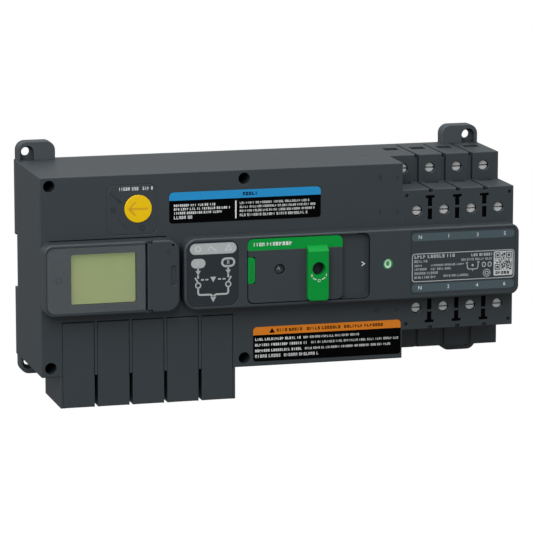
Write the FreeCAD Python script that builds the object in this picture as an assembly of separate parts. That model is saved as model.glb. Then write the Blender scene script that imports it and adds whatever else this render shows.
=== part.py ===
import FreeCAD, Part
import os
from math import acos, cos, pi, radians, sin, tan

# Automatic transfer switch for a distribution board, millimetres.
# Origin: centre of the four ear holes on the mounting plane. +X right, +Y into the wall, +Z up.

# Overall block sizes
controller_width = 232.4
housing_height = 125.0
body_depth = 79.5
wall = 2.5
base_thick = 5.0
gap = 0.25
shell_edge = 0.7
switch_edge = 0.5
cover_edge = 0.4

# Switch block: four poles side by side, two steps in depth
pole_count = 4
pole_pitch = 18.0
side_wall = 1.6
step_depth = 30.5
step_drop = 17.4
step_rise = 18.0
pole_screw_offset = 9.7
chamber_wall = 1.8
groove_width = 1.3
lower_groove_width = 2.8
notch_width = 3.0
notch_deep = 2.0
seam_width = 1.2
seam_deep = 2.0
strip_deep = 0.5

# Power terminals
well_radius = 3.4
head_radius = 3.0
head_thick = 2.4
head_sink = 2.0
driver_slot = 0.9
shank_radius = 1.9
thread_gap = 0.1
cage_clear = 0.2
front_screw_drop = 13.5
load_screw_rise = 13.9
cage_width = 10.5
cage_height = 12.0
cage_wall = 1.6
cage_jaw = 4.8
screw_bite = 7.8
front_cage_start = 17.0
front_cage_deep = 13.0
rear_cage_start = 51.0
rear_cage_deep = 15.0
rear_entry = 9.6
front_entry_wide = 8.5
front_entry_deep = 7.0
bar_thick = 2.0
bar_width = 8.0
tee_bar = 6.0
tee_bar_high = 1.8
tee_stem = 3.0
tee_drop = 4.0
tee_long = 15.5
tee_bridge = 1.4
tee_shift = 0.6
rivet_radius = 1.15
rivet_inset = 2.8
rivet_drop = 3.8

# Mounting ears and rail channel
ear_width = 24.3
ear_inset = 0.7
ear_rise = 12.0
ear_thick = 8.6
ear_corner = 9.5
ear_hole_radius = 2.75
ear_hole_inset = 6.3
ear_hole_rise = 5.0
ear_floor = 3.0
ear_edge = 0.6
ear_pocket_radius = 4.4
tap_floor = 1.0
rail_top = 16.4
rail_height = 35.4
rail_deep = 7.8
trough_wall = 2.2
hook_drop = 1.5
lip_room = 3.6
clip_width = 20.0
clip_thick = 2.6
clip_reach = 2.4
clip_tail = 6.0
clip_travel = 4.0
clip_inset = 62.0
clip_slot_drop = 4.2
clip_slot_high = 1.6
clip_slot_wide = 8.0

# Case screws in the four deep bores of the controller housing, and the slits in its top
bore_radius = 3.7
boss_radius = 5.6
bore_inset = 6.0
bore_spacing = 123.5
bore_drop = 5.65
boss_floor = 5.0
case_head_radius = 3.2
case_head_thick = 3.0
case_shank_radius = 1.5
slit_lefts = [154.8, 214.9]
slit_wide = 7.0
slit_back = 36.4
slit_high = 0.8
bay_inset = 8.0
bay_margin = 5.0

# Cable covers along the lower left edge
cover_count = 5
cover_pitch = 22.1
cover_width = 19.9
cover_start = 13.6
cover_top = -28.5
skirt_drop = 19.9
skirt_deep = 47.0
skirt_wall = 1.3
mouth_margin = 4.0
cover_thick = 1.8
cheek_thick = 1.2
cheek_gap = 0.7
knuckle_radius = 1.5
cover_pin_radius = 0.7
pin_gap = 0.02
swivel_gap = 0.07
pin_seat = 0.8
block_width = 17.0
block_height = 20.0
block_front = 6.0
block_deep = 22.0
block_lift = 3.4
block_poles = 3
block_screw_radius = 2.0
block_screw_rise = 12.4
block_screw_sink = 1.0
block_bore = 11.0
block_slot = 0.6
block_entry_radius = 1.7
block_entry_deep = 8.0
block_entry_back = 6.6

# Raised nose and display module
nose_proud = 12.1
nose_height = 45.0
nose_inset = 88.0
nose_wall = 2.0
nose_left_corner = 8.0
nose_right_corner = 5.5
front_round = 1.2
display_width = 85.3
display_left_corner = 5.5
display_right_corner = 8.0
window_left = 1.7
window_width = 59.8
window_height = 40.6
window_thick = 1.6
window_proud = 0.3
window_corner = 4.0
window_round = 0.5
glass_left = 16.8
glass_width = 40.9
glass_height = 31.4
glass_thick = 2.0
glass_lap = 1.6
glass_lift = 0.3
glass_corner = 1.2
glass_seat = 1.6
board_thick = 1.3
board_inset = 6.0
board_margin = 3.5
chip_side = 9.0
chip_high = 6.0
chip_thick = 1.5
seam_left = 5.7
seam_high = 0.5

# Settings door and the keys behind it
door_pin_x = 66.1
door_pin_radius = 0.6
door_thick = 1.8
door_skirt = 5.8
door_wall = 1.6
door_bay = 6.0
door_lug = 1.7
lug_gap = 0.02
door_pin_inset = 0.7
bay_web = 4.0
bay_room = 1.2
finger_width = 3.4
finger_height = 13.0
finger_deep = 0.9
finger_inset = 3.9
seal_radius = 0.8
seal_inset = 4.2
seal_drop = 3.2
key_x = 75.5
key_pitch = 11.5
key_width = 9.0
key_height = 7.0
key_gap = 0.25
key_flange = 0.9
key_flange_thick = 1.0
key_front = 3.6
key_corner = 1.2
key_round = 0.6

# Insulation-test selector and the engraved field round it
selector_x = 61.8
selector_z = 40.8
selector_radius = 8.65
selector_gap = 0.15
selector_proud = 0.6
selector_skirt = 4.0
spindle_radius = 3.0
spindle_long = 18.0
selector_round = 0.4
arrow_deep = 0.5
arrow_tip = 6.3
arrow_tail = 6.0
arrow_line = 1.0
barb_back = 3.7
barb_rise = 4.0
switch_half_wide = 11.0
switch_half_high = 9.0
switch_back = 3.0
field_left = 42.0
field_width = 32.0
field_low = 24.5
field_height = 31.7
field_corner = 5.0
engraving_width = 0.5
engraving_deep = 0.25
turn_mark_radius = 14.0
turn_mark_start = 205.0
turn_mark_end = 249.0

# Sliding mode cover in the nose
control_z = 0.8
mimic_left = 1.6
mimic_width = 33.0
mimic_height = 41.0
mimic_corner = 6.0
mimic_sink = 0.9
mimic_thick = 0.6
slide_left = 40.4
recess_width = 78.8
recess_height = 41.1
recess_lift = 0.5
recess_deep = 3.5
recess_corner = 4.0
slide_width = 61.3
slide_thick = 2.4
slide_sink = 0.1
slide_travel = 12.0
header_height = 7.3
header_thick = 0.5
dial_left = 20.7
dial_radius = 3.4
dial_lens_thick = 0.8
guide_left = 38.0
guide_width = 13.2
guide_proud = 5.0
guide_top = 15.0
guide_bottom = 0.3
guide_slope = 3.2
guide_corner = 2.0
guide_edge = 0.7
tool_hole_radius = 4.2
tab_width = 4.4
tab_height = 16.5
tab_deep = 9.0
tab_corner = 2.0
tab_hole_radius = 2.0
foot_left = 14.0
foot_long = 9.0
foot_wide = 2.2
foot_head = 4.2
foot_z = 14.0
foot_head_thick = 1.0

# Position indicator window and rating plate
indicator_inset = 12.8
indicator_radius = 3.4
lens_thick = 0.8
plate_left = 1.9
plate_right = 2.4
plate_height = 40.7
plate_sink = 0.5
plate_thick = 0.3
plate_corner = 1.5
label_thick = 0.2
label_corner = 2.0
notice_left = 81.5
notice_width = 97.3
notice_top = 50.0
notice_height = 19.4
warning_left = 135.1
warning_width = 96.5
warning_top = -37.5
warning_height = 22.0

# Drive train
tool_shaft_radius = 3.9
socket_flats = 5.0
socket_deep = 8.0
shaft_sink = 0.6
bearing_gap = 0.05
wall_bore_gap = 0.2
throw_angle = 45.0
contact_angle = 22.0
rack_module = 1.0
rack_teeth = 18
drive_module = 0.8
drive_teeth = 36
motor_teeth = 18
pressure_angle = 20.0
backlash = 0.16
rack_face_start = 10.0
rack_face = 5.0
gear_face_start = 18.0
gear_face = 5.0
pinion_overlap = 0.5
frame_front = 5.0
frame_rear = 27.0
frame_plate = 2.0
frame_half = 19.0
frame_head = 6.0
frame_end = 18.0
frame_margin = 11.0
frame_clear = 2.0
pillar_radius = 2.5
pillar_inset = 3.0
motor_radius = 16.0
motor_long = 34.0
motor_round = 1.0
motor_bore = 9.0
motor_shaft_radius = 2.0
motor_shaft_room = 0.5
slide_bar_high = 6.0
slide_bar_left = 15.0
slide_bar_end = 1.4
arm_width = 7.0
arm_lead = 6.0
flag_half = 10.5
flag_high = 8.0
flag_thick = 1.0
flag_gap = 0.4
cam_thick = 3.5
cam_half_width = 12.5
cam_web = 5.0
cam_half_height = 12.0
cam_lead = 0.2
cam_overrun = 1.0
crank_x = 23.0
crank_radius = 14.0
ball_radius = 2.4
ball_gap = 0.1
neck_radius = 1.4
hub_half = 4.0
hub_rise = 1.5
axle_lead = 5.0
axle_end = 4.0
axle_end_gap = 0.5
contact_depth = 49.0
contact_radius = 4.0
blade_thick = 3.0
blade_ring = 6.0
blade_reach = 24.0
blade_wide = 6.0
button_radius = 2.2
button_thick = 0.9
contact_gap = 0.35
riser_drop = 4.0
saddle_half = 5.0
saddle_thick = 4.5
saddle_lap = 2.0
saddle_gap = 0.3
chute_plates = 5
chute_pitch = 3.0
chute_plate = 1.0
chute_half = 6.0
chute_side = 0.8
chute_lift = 2.5
chute_inset = 1.0

# Boards inside the controller
main_board_depth = 58.0
main_board_left = 10.0
main_board_width = 108.0
main_board_height = 96.0
main_board_thick = 1.6
relay_left = 6.0
relay_low = 8.0
relay_wide = 15.0
relay_high = 28.0
relay_deep = 16.0
relay_space = 4.0
relay_count = 4
core_left = 52.0
core_low = -30.0
core_wide = 40.0
core_high = 34.0
core_deep = 28.0
core_limb = 6.0
core_window = 8.0
coil_proud = 3.0
coil_gap = 0.5

# Derived reference planes
switch_width = pole_count * pole_pitch + side_wall
left = -(controller_width + switch_width) / 2
right = -left
split = left + controller_width
top = housing_height / 2
bottom = -top
front = -body_depth
nose = front - nose_proud
shell_back = -base_thick
step_front = front + step_depth
step_top = top - step_drop
step_bottom = bottom + step_rise
nose_left = left + nose_inset
nose_half = nose_height / 2
shaft_x = nose_left + slide_left + guide_left + guide_width / 2 + slide_travel
contact_y = front + contact_depth
contact_z = 0.0
crank_at = shaft_x + crank_x
contact_tip_z = contact_z + blade_reach * cos(radians(contact_angle))
rail_bottom = rail_top - rail_height
pole_boundaries = [right - side_wall / 2 - pole_pitch * k for k in range(1, pole_count)]
pole_centres = [split + pole_screw_offset + pole_pitch * k for k in range(pole_count)]
rear_screw_z = top - wall - cage_clear - cage_height / 2
front_screw_z = step_top - front_screw_drop
load_screw_z = step_bottom + load_screw_rise
cover_lefts = [left + cover_start + cover_pitch * k for k in range(cover_count)]
skirt_left = cover_lefts[0] - skirt_wall - gap
skirt_right = cover_lefts[-1] + cover_width + gap + skirt_wall
cover_bottom = bottom - skirt_drop
cover_axis_y = front + knuckle_radius
cover_axis_z = cover_top - knuckle_radius
bores = [(left + bore_inset + dx, z)
         for dx in (0, bore_spacing)
         for z in (top - bore_drop, bottom + bore_drop)]
indicator_x = split - indicator_inset
rack_radius = rack_module * rack_teeth / 2
rack_z = control_z + rack_radius
rack_travel = rack_radius * radians(throw_angle)
gear_centres = drive_module * (drive_teeth + motor_teeth) / 2
motor_x = shaft_x - gear_centres
recess_floor = nose + recess_deep
floor_back = recess_floor + nose_wall
flag_front = floor_back + flag_gap
header_bottom = recess_height / 2 + recess_lift - 2 * gap - header_height
glass_front = nose + window_thick + glass_seat
slide_face = nose + slide_sink
bar_right = indicator_x - arm_lead + arm_width + slide_bar_end


def block(x0, x1, y0, y1, z0, z1):
    return Part.makeBox(x1 - x0, y1 - y0, z1 - z0, FreeCAD.Vector(x0, y0, z0))


def rod_y(x, z, y0, y1, radius):
    return Part.makeCylinder(radius, y1 - y0, FreeCAD.Vector(x, y0, z), FreeCAD.Vector(0, 1, 0))


def rod_x(y, z, x0, x1, radius):
    return Part.makeCylinder(radius, x1 - x0, FreeCAD.Vector(x0, y, z), FreeCAD.Vector(1, 0, 0))


def rod_z(x, y, z0, z1, radius):
    return Part.makeCylinder(radius, z1 - z0, FreeCAD.Vector(x, y, z0), FreeCAD.Vector(0, 0, 1))


def join(pieces):
    return pieces[0].multiFuse(pieces[1:]).removeSplitter()


def minus(shape, tools):
    return shape.cut(Part.makeCompound(tools)).removeSplitter()


def corner_arc(x, z, radius, start, y):
    """Quarter circle about a corner's centre, from the start angle in degrees, anticlockwise."""
    points = [FreeCAD.Vector(x + radius * cos(radians(a)), y, z + radius * sin(radians(a)))
              for a in (start, start + 45, start + 90)]
    return Part.Arc(*points).toShape()


def rounded_plate(x0, x1, z0, z1, y0, y1, corners):
    """Plate in the XZ plane; corners are the radii at lower left, lower right, upper right, upper left."""
    limit = min(x1 - x0, z1 - z0) / 2 - 0.01
    ll, lr, ur, ul = [min(r, limit) for r in corners]
    ring = [((x0, z0), ll, (1, 1), 180), ((x1, z0), lr, (-1, 1), 270),
            ((x1, z1), ur, (-1, -1), 0), ((x0, z1), ul, (1, -1), 90)]
    parts = []
    for (x, z), radius, (sx, sz), start in ring:
        if radius > 0:
            parts.append(corner_arc(x + sx * radius, z + sz * radius, radius, start, y0))
        else:
            parts.append(FreeCAD.Vector(x, y0, z))
    edges = []
    for part, following in zip(parts, parts[1:] + parts[:1]):
        if not isinstance(part, FreeCAD.Vector):
            edges.append(part)
        a = part if isinstance(part, FreeCAD.Vector) else part.Vertexes[-1].Point
        b = following if isinstance(following, FreeCAD.Vector) else following.Vertexes[0].Point
        edges.append(Part.makeLine(a, b))
    return Part.Face(Part.Wire(edges)).extrude(FreeCAD.Vector(0, y1 - y0, 0))


def soften_front(shape, radius):
    """Round the outer edges of the plate's lowest-Y face."""
    level = shape.BoundBox.YMin
    edges = [e for e in shape.Edges if e.BoundBox.YMax < level + 0.01]
    return shape.makeFillet(radius, edges)


def prism_y(points, y0, y1):
    ring = [FreeCAD.Vector(x, y0, z) for x, z in points]
    return Part.Face(Part.makePolygon(ring + ring[:1])).extrude(FreeCAD.Vector(0, y1 - y0, 0))


def prism_x(points, x0, x1):
    ring = [FreeCAD.Vector(x0, y, z) for y, z in points]
    return Part.Face(Part.makePolygon(ring + ring[:1])).extrude(FreeCAD.Vector(x1 - x0, 0, 0))


def edged_block(x0, x1, y0, y1, z0, z1, radius, keep):
    """Block whose front, top, bottom and chosen side edges are rounded; keep lists sides left sharp."""
    body = block(x0, x1, y0, y1, z0, z1)
    chosen = []
    for edge in body.Edges:
        box = edge.BoundBox
        at_back = box.YMin > y1 - 0.01
        at_left = "left" in keep and box.XMax < x0 + 0.01
        at_right = "right" in keep and box.XMin > x1 - 0.01
        at_bottom = "bottom" in keep and box.ZMax < z0 + 0.01
        if not (at_back or at_left or at_right or at_bottom):
            chosen.append(edge)
    return body.makeFillet(radius, chosen)


def save(name, pieces):
    shape = pieces[0] if len(pieces) == 1 else Part.makeCompound(pieces)
    shape.exportStep("parts/" + name + ".step")
    print(name, len(shape.Solids), round(shape.Volume, 1), shape.isValid())


def gear(teeth, module, x, z, y0, y1, phase):
    pitch = module * teeth / 2
    base = pitch * cos(radians(pressure_angle))
    root = pitch - 1.25 * module
    tip = pitch + module
    flank_start = max(base, root)
    involute_at_pitch = tan(radians(pressure_angle)) - radians(pressure_angle)
    half_pitch_tooth = pi / (2 * teeth) - backlash / (2 * pitch)
    steps = 5
    radii = [flank_start + (tip - flank_start) * i / steps for i in range(steps + 1)]
    halves = []
    for r in radii:
        roll = acos(min(1.0, base / r))
        halves.append(half_pitch_tooth + involute_at_pitch - (tan(roll) - roll))
    points = []
    for k in range(teeth):
        centre = phase + 2 * pi * k / teeth
        flank = [(root, -halves[0])] + [(r, -h) for r, h in zip(radii, halves)]
        if root >= base:
            flank = flank[1:]
        for r, h in flank + [(r, -h) for r, h in reversed(flank)]:
            points.append((x + r * cos(centre + h), z + r * sin(centre + h)))
    return prism_y(points, y0, y1)


def slotted_screw(x, z, head_face, shank_end):
    head = rod_y(x, z, head_face, head_face + head_thick, head_radius)
    shank = rod_y(x, z, head_face + head_thick, shank_end, shank_radius)
    slot = block(x - head_radius, x + head_radius, head_face - gap, head_face + head_thick / 2,
                 z - driver_slot / 2, z + driver_slot / 2)
    return minus(join([head, shank]), [slot])


# Base, ears and rail parts
def ear(x0, rise_sign):
    z_edge = top * rise_sign
    z_far = z_edge + ear_rise * rise_sign
    low, high = min(z_edge, z_far), max(z_edge, z_far)
    tops = [0, 0, ear_corner, ear_corner] if rise_sign > 0 else [ear_corner, ear_corner, 0, 0]
    body = rounded_plate(x0, x0 + ear_width, low, high, -ear_thick, 0, tops)
    front_edges = [e for e in body.Edges if e.BoundBox.YMax < -ear_thick + 0.01]
    rim = [e for e in front_edges if abs(e.BoundBox.ZMin - z_edge) + abs(e.BoundBox.ZMax - z_edge) > 0.01]
    body = body.makeFillet(ear_edge, rim)
    outer = x0 + ear_hole_inset if x0 < 0 else x0 + ear_width - ear_hole_inset
    hole_z = z_edge + ear_hole_rise * rise_sign
    pocket = join([rod_y(outer, hole_z, -ear_thick - gap, -ear_floor, ear_pocket_radius),
                   block(outer - ear_pocket_radius, outer + ear_pocket_radius, -ear_thick - gap, -ear_floor,
                         min(z_edge - rise_sign, hole_z), max(z_edge - rise_sign, hole_z))])
    hole = rod_y(outer, hole_z, -ear_thick, gap, ear_hole_radius)
    return minus(body, [pocket, hole])


def rail_clip_x(side):
    return side * (right - clip_inset)


def rear_base():
    plate = block(left, right, -base_thick, 0, bottom, top)
    trough = block(left, right, -rail_deep - trough_wall, -base_thick,
                   rail_bottom - trough_wall, rail_top + trough_wall)
    ears = [ear(x, s) for x in (left + ear_inset, right - ear_inset - ear_width) for s in (1, -1)]
    channel = block(left - gap, right + gap, -rail_deep, gap, rail_bottom, rail_top)
    hook = block(left, right, -rail_deep + lip_room, 0, rail_top - hook_drop, rail_top)
    tapped = [rod_y(x, z, -base_thick - gap, -tap_floor, case_shank_radius) for x, z in bores]
    guides = []
    for side in (-1, 1):
        x0 = rail_clip_x(side) - clip_width / 2 - gap
        x1 = rail_clip_x(side) + clip_width / 2 + gap
        guides.append(block(x0, x1, -clip_thick - 2 * gap, gap, bottom - gap, rail_bottom + gap))
        guides.append(block(x0, x1, -rail_deep + lip_room - gap, gap,
                            rail_bottom - clip_travel - gap, rail_bottom + gap))
    shell = minus(join([plate, trough] + ears), [channel])
    return minus(join([shell, hook]), tapped + guides)


def rail_clip(side):
    x = rail_clip_x(side)
    strip = block(x - clip_width / 2, x + clip_width / 2, -clip_thick - gap, -gap,
                  bottom - clip_tail, rail_bottom)
    catch = block(x - clip_width / 2, x + clip_width / 2, -rail_deep + lip_room, -gap,
                  rail_bottom, rail_bottom + clip_reach)
    slot = block(x - clip_slot_wide / 2, x + clip_slot_wide / 2, -clip_thick - 2 * gap, 0,
                 bottom - clip_slot_drop, bottom - clip_slot_drop + clip_slot_high)
    return minus(join([strip, catch]), [slot])


# Controller housing, the shroud under it and its five cable covers
def selector_field():
    """Thin engraved outline round the selector, with a curved line between its two positions."""
    x0 = left + field_left
    outline = rounded_plate(x0, x0 + field_width, field_low, field_low + field_height,
                            front - gap, front + engraving_deep, [field_corner] * 4)
    inside = rounded_plate(x0 + engraving_width, x0 + field_width - engraving_width,
                           field_low + engraving_width, field_low + field_height - engraving_width,
                           front - gap, front + engraving_deep, [field_corner - engraving_width] * 4)
    x = left + selector_x
    ring = rod_y(x, selector_z, front - gap, front + engraving_deep, turn_mark_radius + engraving_width / 2)
    core = rod_y(x, selector_z, front - gap, front + engraving_deep, turn_mark_radius - engraving_width / 2)
    far = turn_mark_radius * 2
    sector = prism_y([(x, selector_z)] + [(x + far * cos(radians(a)), selector_z + far * sin(radians(a)))
                                          for a in (turn_mark_start, turn_mark_end)],
                     front - gap, front + engraving_deep)
    return [outline.cut(inside), ring.cut(core).common(sector)]


def controller_housing():
    shell = edged_block(left, split, front, shell_back, bottom, top, shell_edge, ["right"])
    bosses = [rod_y(x, z, front, shell_back, boss_radius) for x, z in bores]
    cavity = block(left + wall, split - wall, front + wall, shell_back + gap, bottom + wall, top - wall)
    keep = [b.common(shell) for b in bosses]
    body = join([minus(shell, [cavity])] + keep)
    cuts = [rod_y(x, z, front - gap, shell_back - boss_floor, bore_radius) for x, z in bores]
    cuts += [rod_y(x, z, front, 0, case_shank_radius + thread_gap) for x, z in bores]
    for x0 in cover_lefts:
        x1 = x0 + cover_width
        cuts.append(block(x0 - gap, x1 + gap, front - gap, front + wall + gap,
                          bottom - gap, cover_top + gap))
        cuts.append(block(x0 - gap, x1 + gap, front - gap, front + skirt_deep - skirt_wall - mouth_margin,
                          bottom - gap, bottom + wall + gap))
        cuts.append(rod_x(cover_axis_y, cover_axis_z, x0 - gap - pin_seat, x1 + gap + pin_seat,
                          cover_pin_radius + pin_gap))
    cuts.append(block(left + bay_inset, left + display_width - bay_inset, front - gap, front + wall + gap,
                      -nose_half + bay_margin, nose_half - bay_margin))
    cuts.append(block(left + seam_left, left + display_width - seam_left, front - gap, front + seam_deep,
                      nose_half - gap, nose_half + seam_high))
    cuts.append(block(nose_left + slide_left + wall, split + gap, front - gap, front + wall + gap,
                      -frame_half + gap, frame_half - gap))
    cuts.append(rod_y(left + selector_x, selector_z, front - gap, front + wall + gap,
                      selector_radius + selector_gap))
    cuts.append(rod_x(contact_y, contact_z, split - wall - gap, split + gap,
                      contact_radius + wall_bore_gap))
    for x in (left, split - wall):
        cuts.append(block(x - gap, x + wall + gap, -rail_deep - trough_wall - gap, 0,
                          rail_bottom - trough_wall - gap, rail_top + trough_wall + gap))
    slits = [block(left + x, left + x + slit_wide, front + slit_back, front + slit_back + slit_high,
                   top - wall - gap, top + gap) for x in slit_lefts]
    return minus(body, cuts + slits + selector_field())


def cable_shroud():
    body = block(skirt_left, skirt_right, front, front + skirt_deep, cover_bottom, bottom)
    room = block(skirt_left + skirt_wall, skirt_right - skirt_wall, front - gap,
                 front + skirt_deep - skirt_wall, cover_bottom - gap, bottom + gap)
    return minus(body, [room])


def cable_cover(x0):
    x1 = x0 + cover_width
    roll = rod_x(cover_axis_y, cover_axis_z, x0, x1, knuckle_radius)
    face = edged_block(x0, x1, front, front + cover_thick, cover_bottom, cover_axis_z + knuckle_radius / 2,
                       cover_edge, [])
    face = face.cut(block(x0 - gap, x1 + gap, front - gap, front + wall, cover_axis_z, cover_top + gap))
    cheeks = [block(x, x + cheek_thick, front, front + skirt_deep - skirt_wall - cheek_gap,
                    cover_bottom, bottom - cheek_gap)
              for x in (x0, x1 - cheek_thick)]
    bore = rod_x(cover_axis_y, cover_axis_z, x0 - gap, x1 + gap, cover_pin_radius + swivel_gap)
    return minus(join([roll, face] + cheeks), [bore])


def cover_hinge_pins():
    reach = gap + pin_seat - pin_gap
    return [rod_x(cover_axis_y, cover_axis_z, x0 - reach, x0 + cover_width + reach, cover_pin_radius)
            for x0 in cover_lefts]


def terminal_block_spots():
    spots = []
    for x0 in cover_lefts:
        centre = x0 + cover_width / 2
        for k in range(block_poles):
            spots.append((centre, centre + (k - (block_poles - 1) / 2) * block_width / block_poles))
    return spots


def control_terminal_blocks():
    low = bottom + block_lift
    blocks = []
    for x0 in cover_lefts:
        centre = x0 + cover_width / 2
        body = block(centre - block_width / 2, centre + block_width / 2, front + block_front,
                     front + block_front + block_deep, low, low + block_height)
        cuts = []
        for owner, x in terminal_block_spots():
            if owner == centre:
                cuts.append(rod_y(x, low + block_screw_rise, front + block_front - gap,
                                  front + block_front + block_bore, block_screw_radius + thread_gap))
                cuts.append(rod_z(x, front + block_front + block_entry_back, low - gap,
                                  low + block_entry_deep, block_entry_radius))
        blocks.append(minus(body, cuts))
    return blocks


def control_terminal_screws():
    z = bottom + block_lift + block_screw_rise
    face = front + block_front + block_screw_sink
    screws = []
    for owner, x in terminal_block_spots():
        body = rod_y(x, z, face, front + block_front + block_bore, block_screw_radius)
        slot = block(x - block_screw_radius, x + block_screw_radius, face - gap, face + block_slot,
                     z - block_slot / 2, z + block_slot / 2)
        screws.append(minus(body, [slot]))
    return screws


def housing_screws():
    screws = []
    for x, z in bores:
        seat = shell_back - boss_floor
        head = rod_y(x, z, seat - case_head_thick, seat, case_head_radius)
        shank = rod_y(x, z, seat, -tap_floor - gap, case_shank_radius)
        slot = block(x - case_head_radius, x + case_head_radius, seat - case_head_thick - gap,
                     seat - case_head_thick / 2, z - driver_slot / 2, z + driver_slot / 2)
        screws.append(minus(join([head, shank]), [slot]))
    return screws


# Display module, door and keys
def key_heights():
    return [key_pitch, 0.0, -key_pitch]


def display_corners(inset, left_radius=None, right_radius=None):
    """Corner radii of the display module's outline, moved inwards by inset."""
    a = display_left_corner - inset if left_radius is None else left_radius
    b = display_right_corner - inset if right_radius is None else right_radius
    return [a, b, b, a]


def hmi_bezel():
    right_side = left + display_width
    shell = rounded_plate(left, right_side, -nose_half, nose_half, nose, front, display_corners(0))
    shell = soften_front(shell, front_round)
    seat_x = left + window_left - gap / 2
    seat_half = (window_height + gap) / 2
    pin_x = left + door_pin_x
    seat = rounded_plate(seat_x, seat_x + window_width + gap, -seat_half, seat_half,
                         nose - gap, nose + window_thick - window_proud, [window_corner] * 4)
    glass_x = left + glass_left
    opening = rounded_plate(glass_x, glass_x + glass_width, -glass_height / 2 + glass_lift,
                            glass_height / 2 + glass_lift, nose, glass_front + gap, [glass_corner] * 4)
    hollow = rounded_plate(left + nose_wall, pin_x - bay_web, -nose_half + nose_wall, nose_half - nose_wall,
                           glass_front, front + gap, display_corners(nose_wall, right_radius=0))
    bay_back = rounded_plate(pin_x - bay_web, right_side - nose_wall,
                             -nose_half + nose_wall, nose_half - nose_wall,
                             nose + door_bay + nose_wall, front + gap,
                             display_corners(nose_wall, left_radius=0))
    bay = block(pin_x - knuckle_radius - bay_room, right_side + gap, nose - gap, nose + door_bay,
                -nose_half - gap, nose_half + gap)
    body = minus(shell, [seat, opening, hollow, bay_back, bay])
    lugs = []
    for z0 in (-nose_half, nose_half - door_lug):
        lugs.append(block(pin_x - knuckle_radius - bay_room, pin_x + knuckle_radius, nose + front_round,
                          nose + door_bay, z0 + lug_gap, z0 + door_lug - lug_gap))
    keys = [block(left + key_x - key_width / 2 - key_gap, left + key_x + key_width / 2 + key_gap,
                  nose + door_bay - gap, nose + door_bay + nose_wall + gap,
                  z - key_height / 2 - key_gap, z + key_height / 2 + key_gap) for z in key_heights()]
    pin_bore = rod_z(pin_x, nose + knuckle_radius, -nose_half + door_pin_inset - gap,
                     nose_half - door_pin_inset + gap, door_pin_radius + pin_gap)
    return minus(join([body] + lugs), keys + [pin_bore])


def hmi_window():
    x0 = left + window_left
    plate = rounded_plate(x0, x0 + window_width, -window_height / 2, window_height / 2,
                          nose - window_proud, nose + window_thick - window_proud, [window_corner] * 4)
    return soften_front(plate, window_round)


def lcd_glass():
    x0 = left + glass_left - glass_lap
    return rounded_plate(x0, x0 + glass_width + 2 * glass_lap, -glass_height / 2 - glass_lap + glass_lift,
                         glass_height / 2 + glass_lap + glass_lift, glass_front, glass_front + glass_thick,
                         [glass_corner] * 4)


def hmi_board():
    back = front - lug_gap * 5
    face = back - board_thick
    board = block(left + board_inset, left + display_width - board_inset, face, back,
                  -nose_half + board_margin, nose_half - board_margin)
    chips = [block(left + x, left + x + chip_side, face - chip_thick, face, z, z + chip_high)
             for x, z in ((18.0, -9.0), (34.0, 3.0), (49.0, -12.0))]
    return join([board] + chips)


def settings_door():
    pin_x = left + door_pin_x
    right_side = left + display_width
    axis_y = nose + knuckle_radius
    lid = rounded_plate(pin_x, right_side, -nose_half, nose_half, nose, nose + door_skirt,
                        display_corners(0, left_radius=0))
    edges = [e for e in lid.Edges
             if e.BoundBox.YMax < nose + 0.01 and e.BoundBox.XMax > pin_x + gap]
    lid = lid.makeFillet(front_round, edges)
    room = rounded_plate(pin_x - gap, right_side - door_wall, -nose_half + door_wall, nose_half - door_wall,
                         nose + door_thick, nose + door_skirt + gap,
                         display_corners(door_wall, left_radius=0))
    corner_room = [block(pin_x - gap, pin_x + knuckle_radius + 2 * gap, nose - gap, nose + door_skirt + gap,
                         min(z, z + s * (door_lug + 2 * gap)), max(z, z + s * (door_lug + 2 * gap)))
                   for z, s in ((-nose_half - gap, 1), (nose_half + gap, -1))]
    knuckle = rod_z(pin_x, axis_y, -nose_half + door_lug + gap, nose_half - door_lug - gap, knuckle_radius)
    bore = rod_z(pin_x, axis_y, -nose_half, nose_half, door_pin_radius + swivel_gap)
    groove_x = right_side - finger_inset
    groove = rounded_plate(groove_x - finger_width / 2, groove_x + finger_width / 2, -finger_height / 2,
                           finger_height / 2, nose - gap, nose + finger_deep, [finger_width / 2] * 4)
    seal = rod_y(right_side - seal_inset, nose_half - seal_drop, nose - gap, nose + door_skirt, seal_radius)
    return minus(join([minus(lid, [room] + corner_room), knuckle]), [bore, groove, seal])


def door_hinge_pin():
    return rod_z(left + door_pin_x, nose + knuckle_radius, -nose_half + door_pin_inset,
                 nose_half - door_pin_inset, door_pin_radius)


def key(z):
    x = left + key_x
    cap = rounded_plate(x - key_width / 2, x + key_width / 2, z - key_height / 2, z + key_height / 2,
                        nose + key_front, nose + door_bay + nose_wall + gap, [key_corner] * 4)
    cap = soften_front(cap, key_round)
    flange = block(x - key_width / 2 - key_flange, x + key_width / 2 + key_flange,
                   nose + door_bay + nose_wall + gap, nose + door_bay + nose_wall + gap + key_flange_thick,
                   z - key_height / 2 - key_flange, z + key_height / 2 + key_flange)
    return join([cap, flange])


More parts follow.
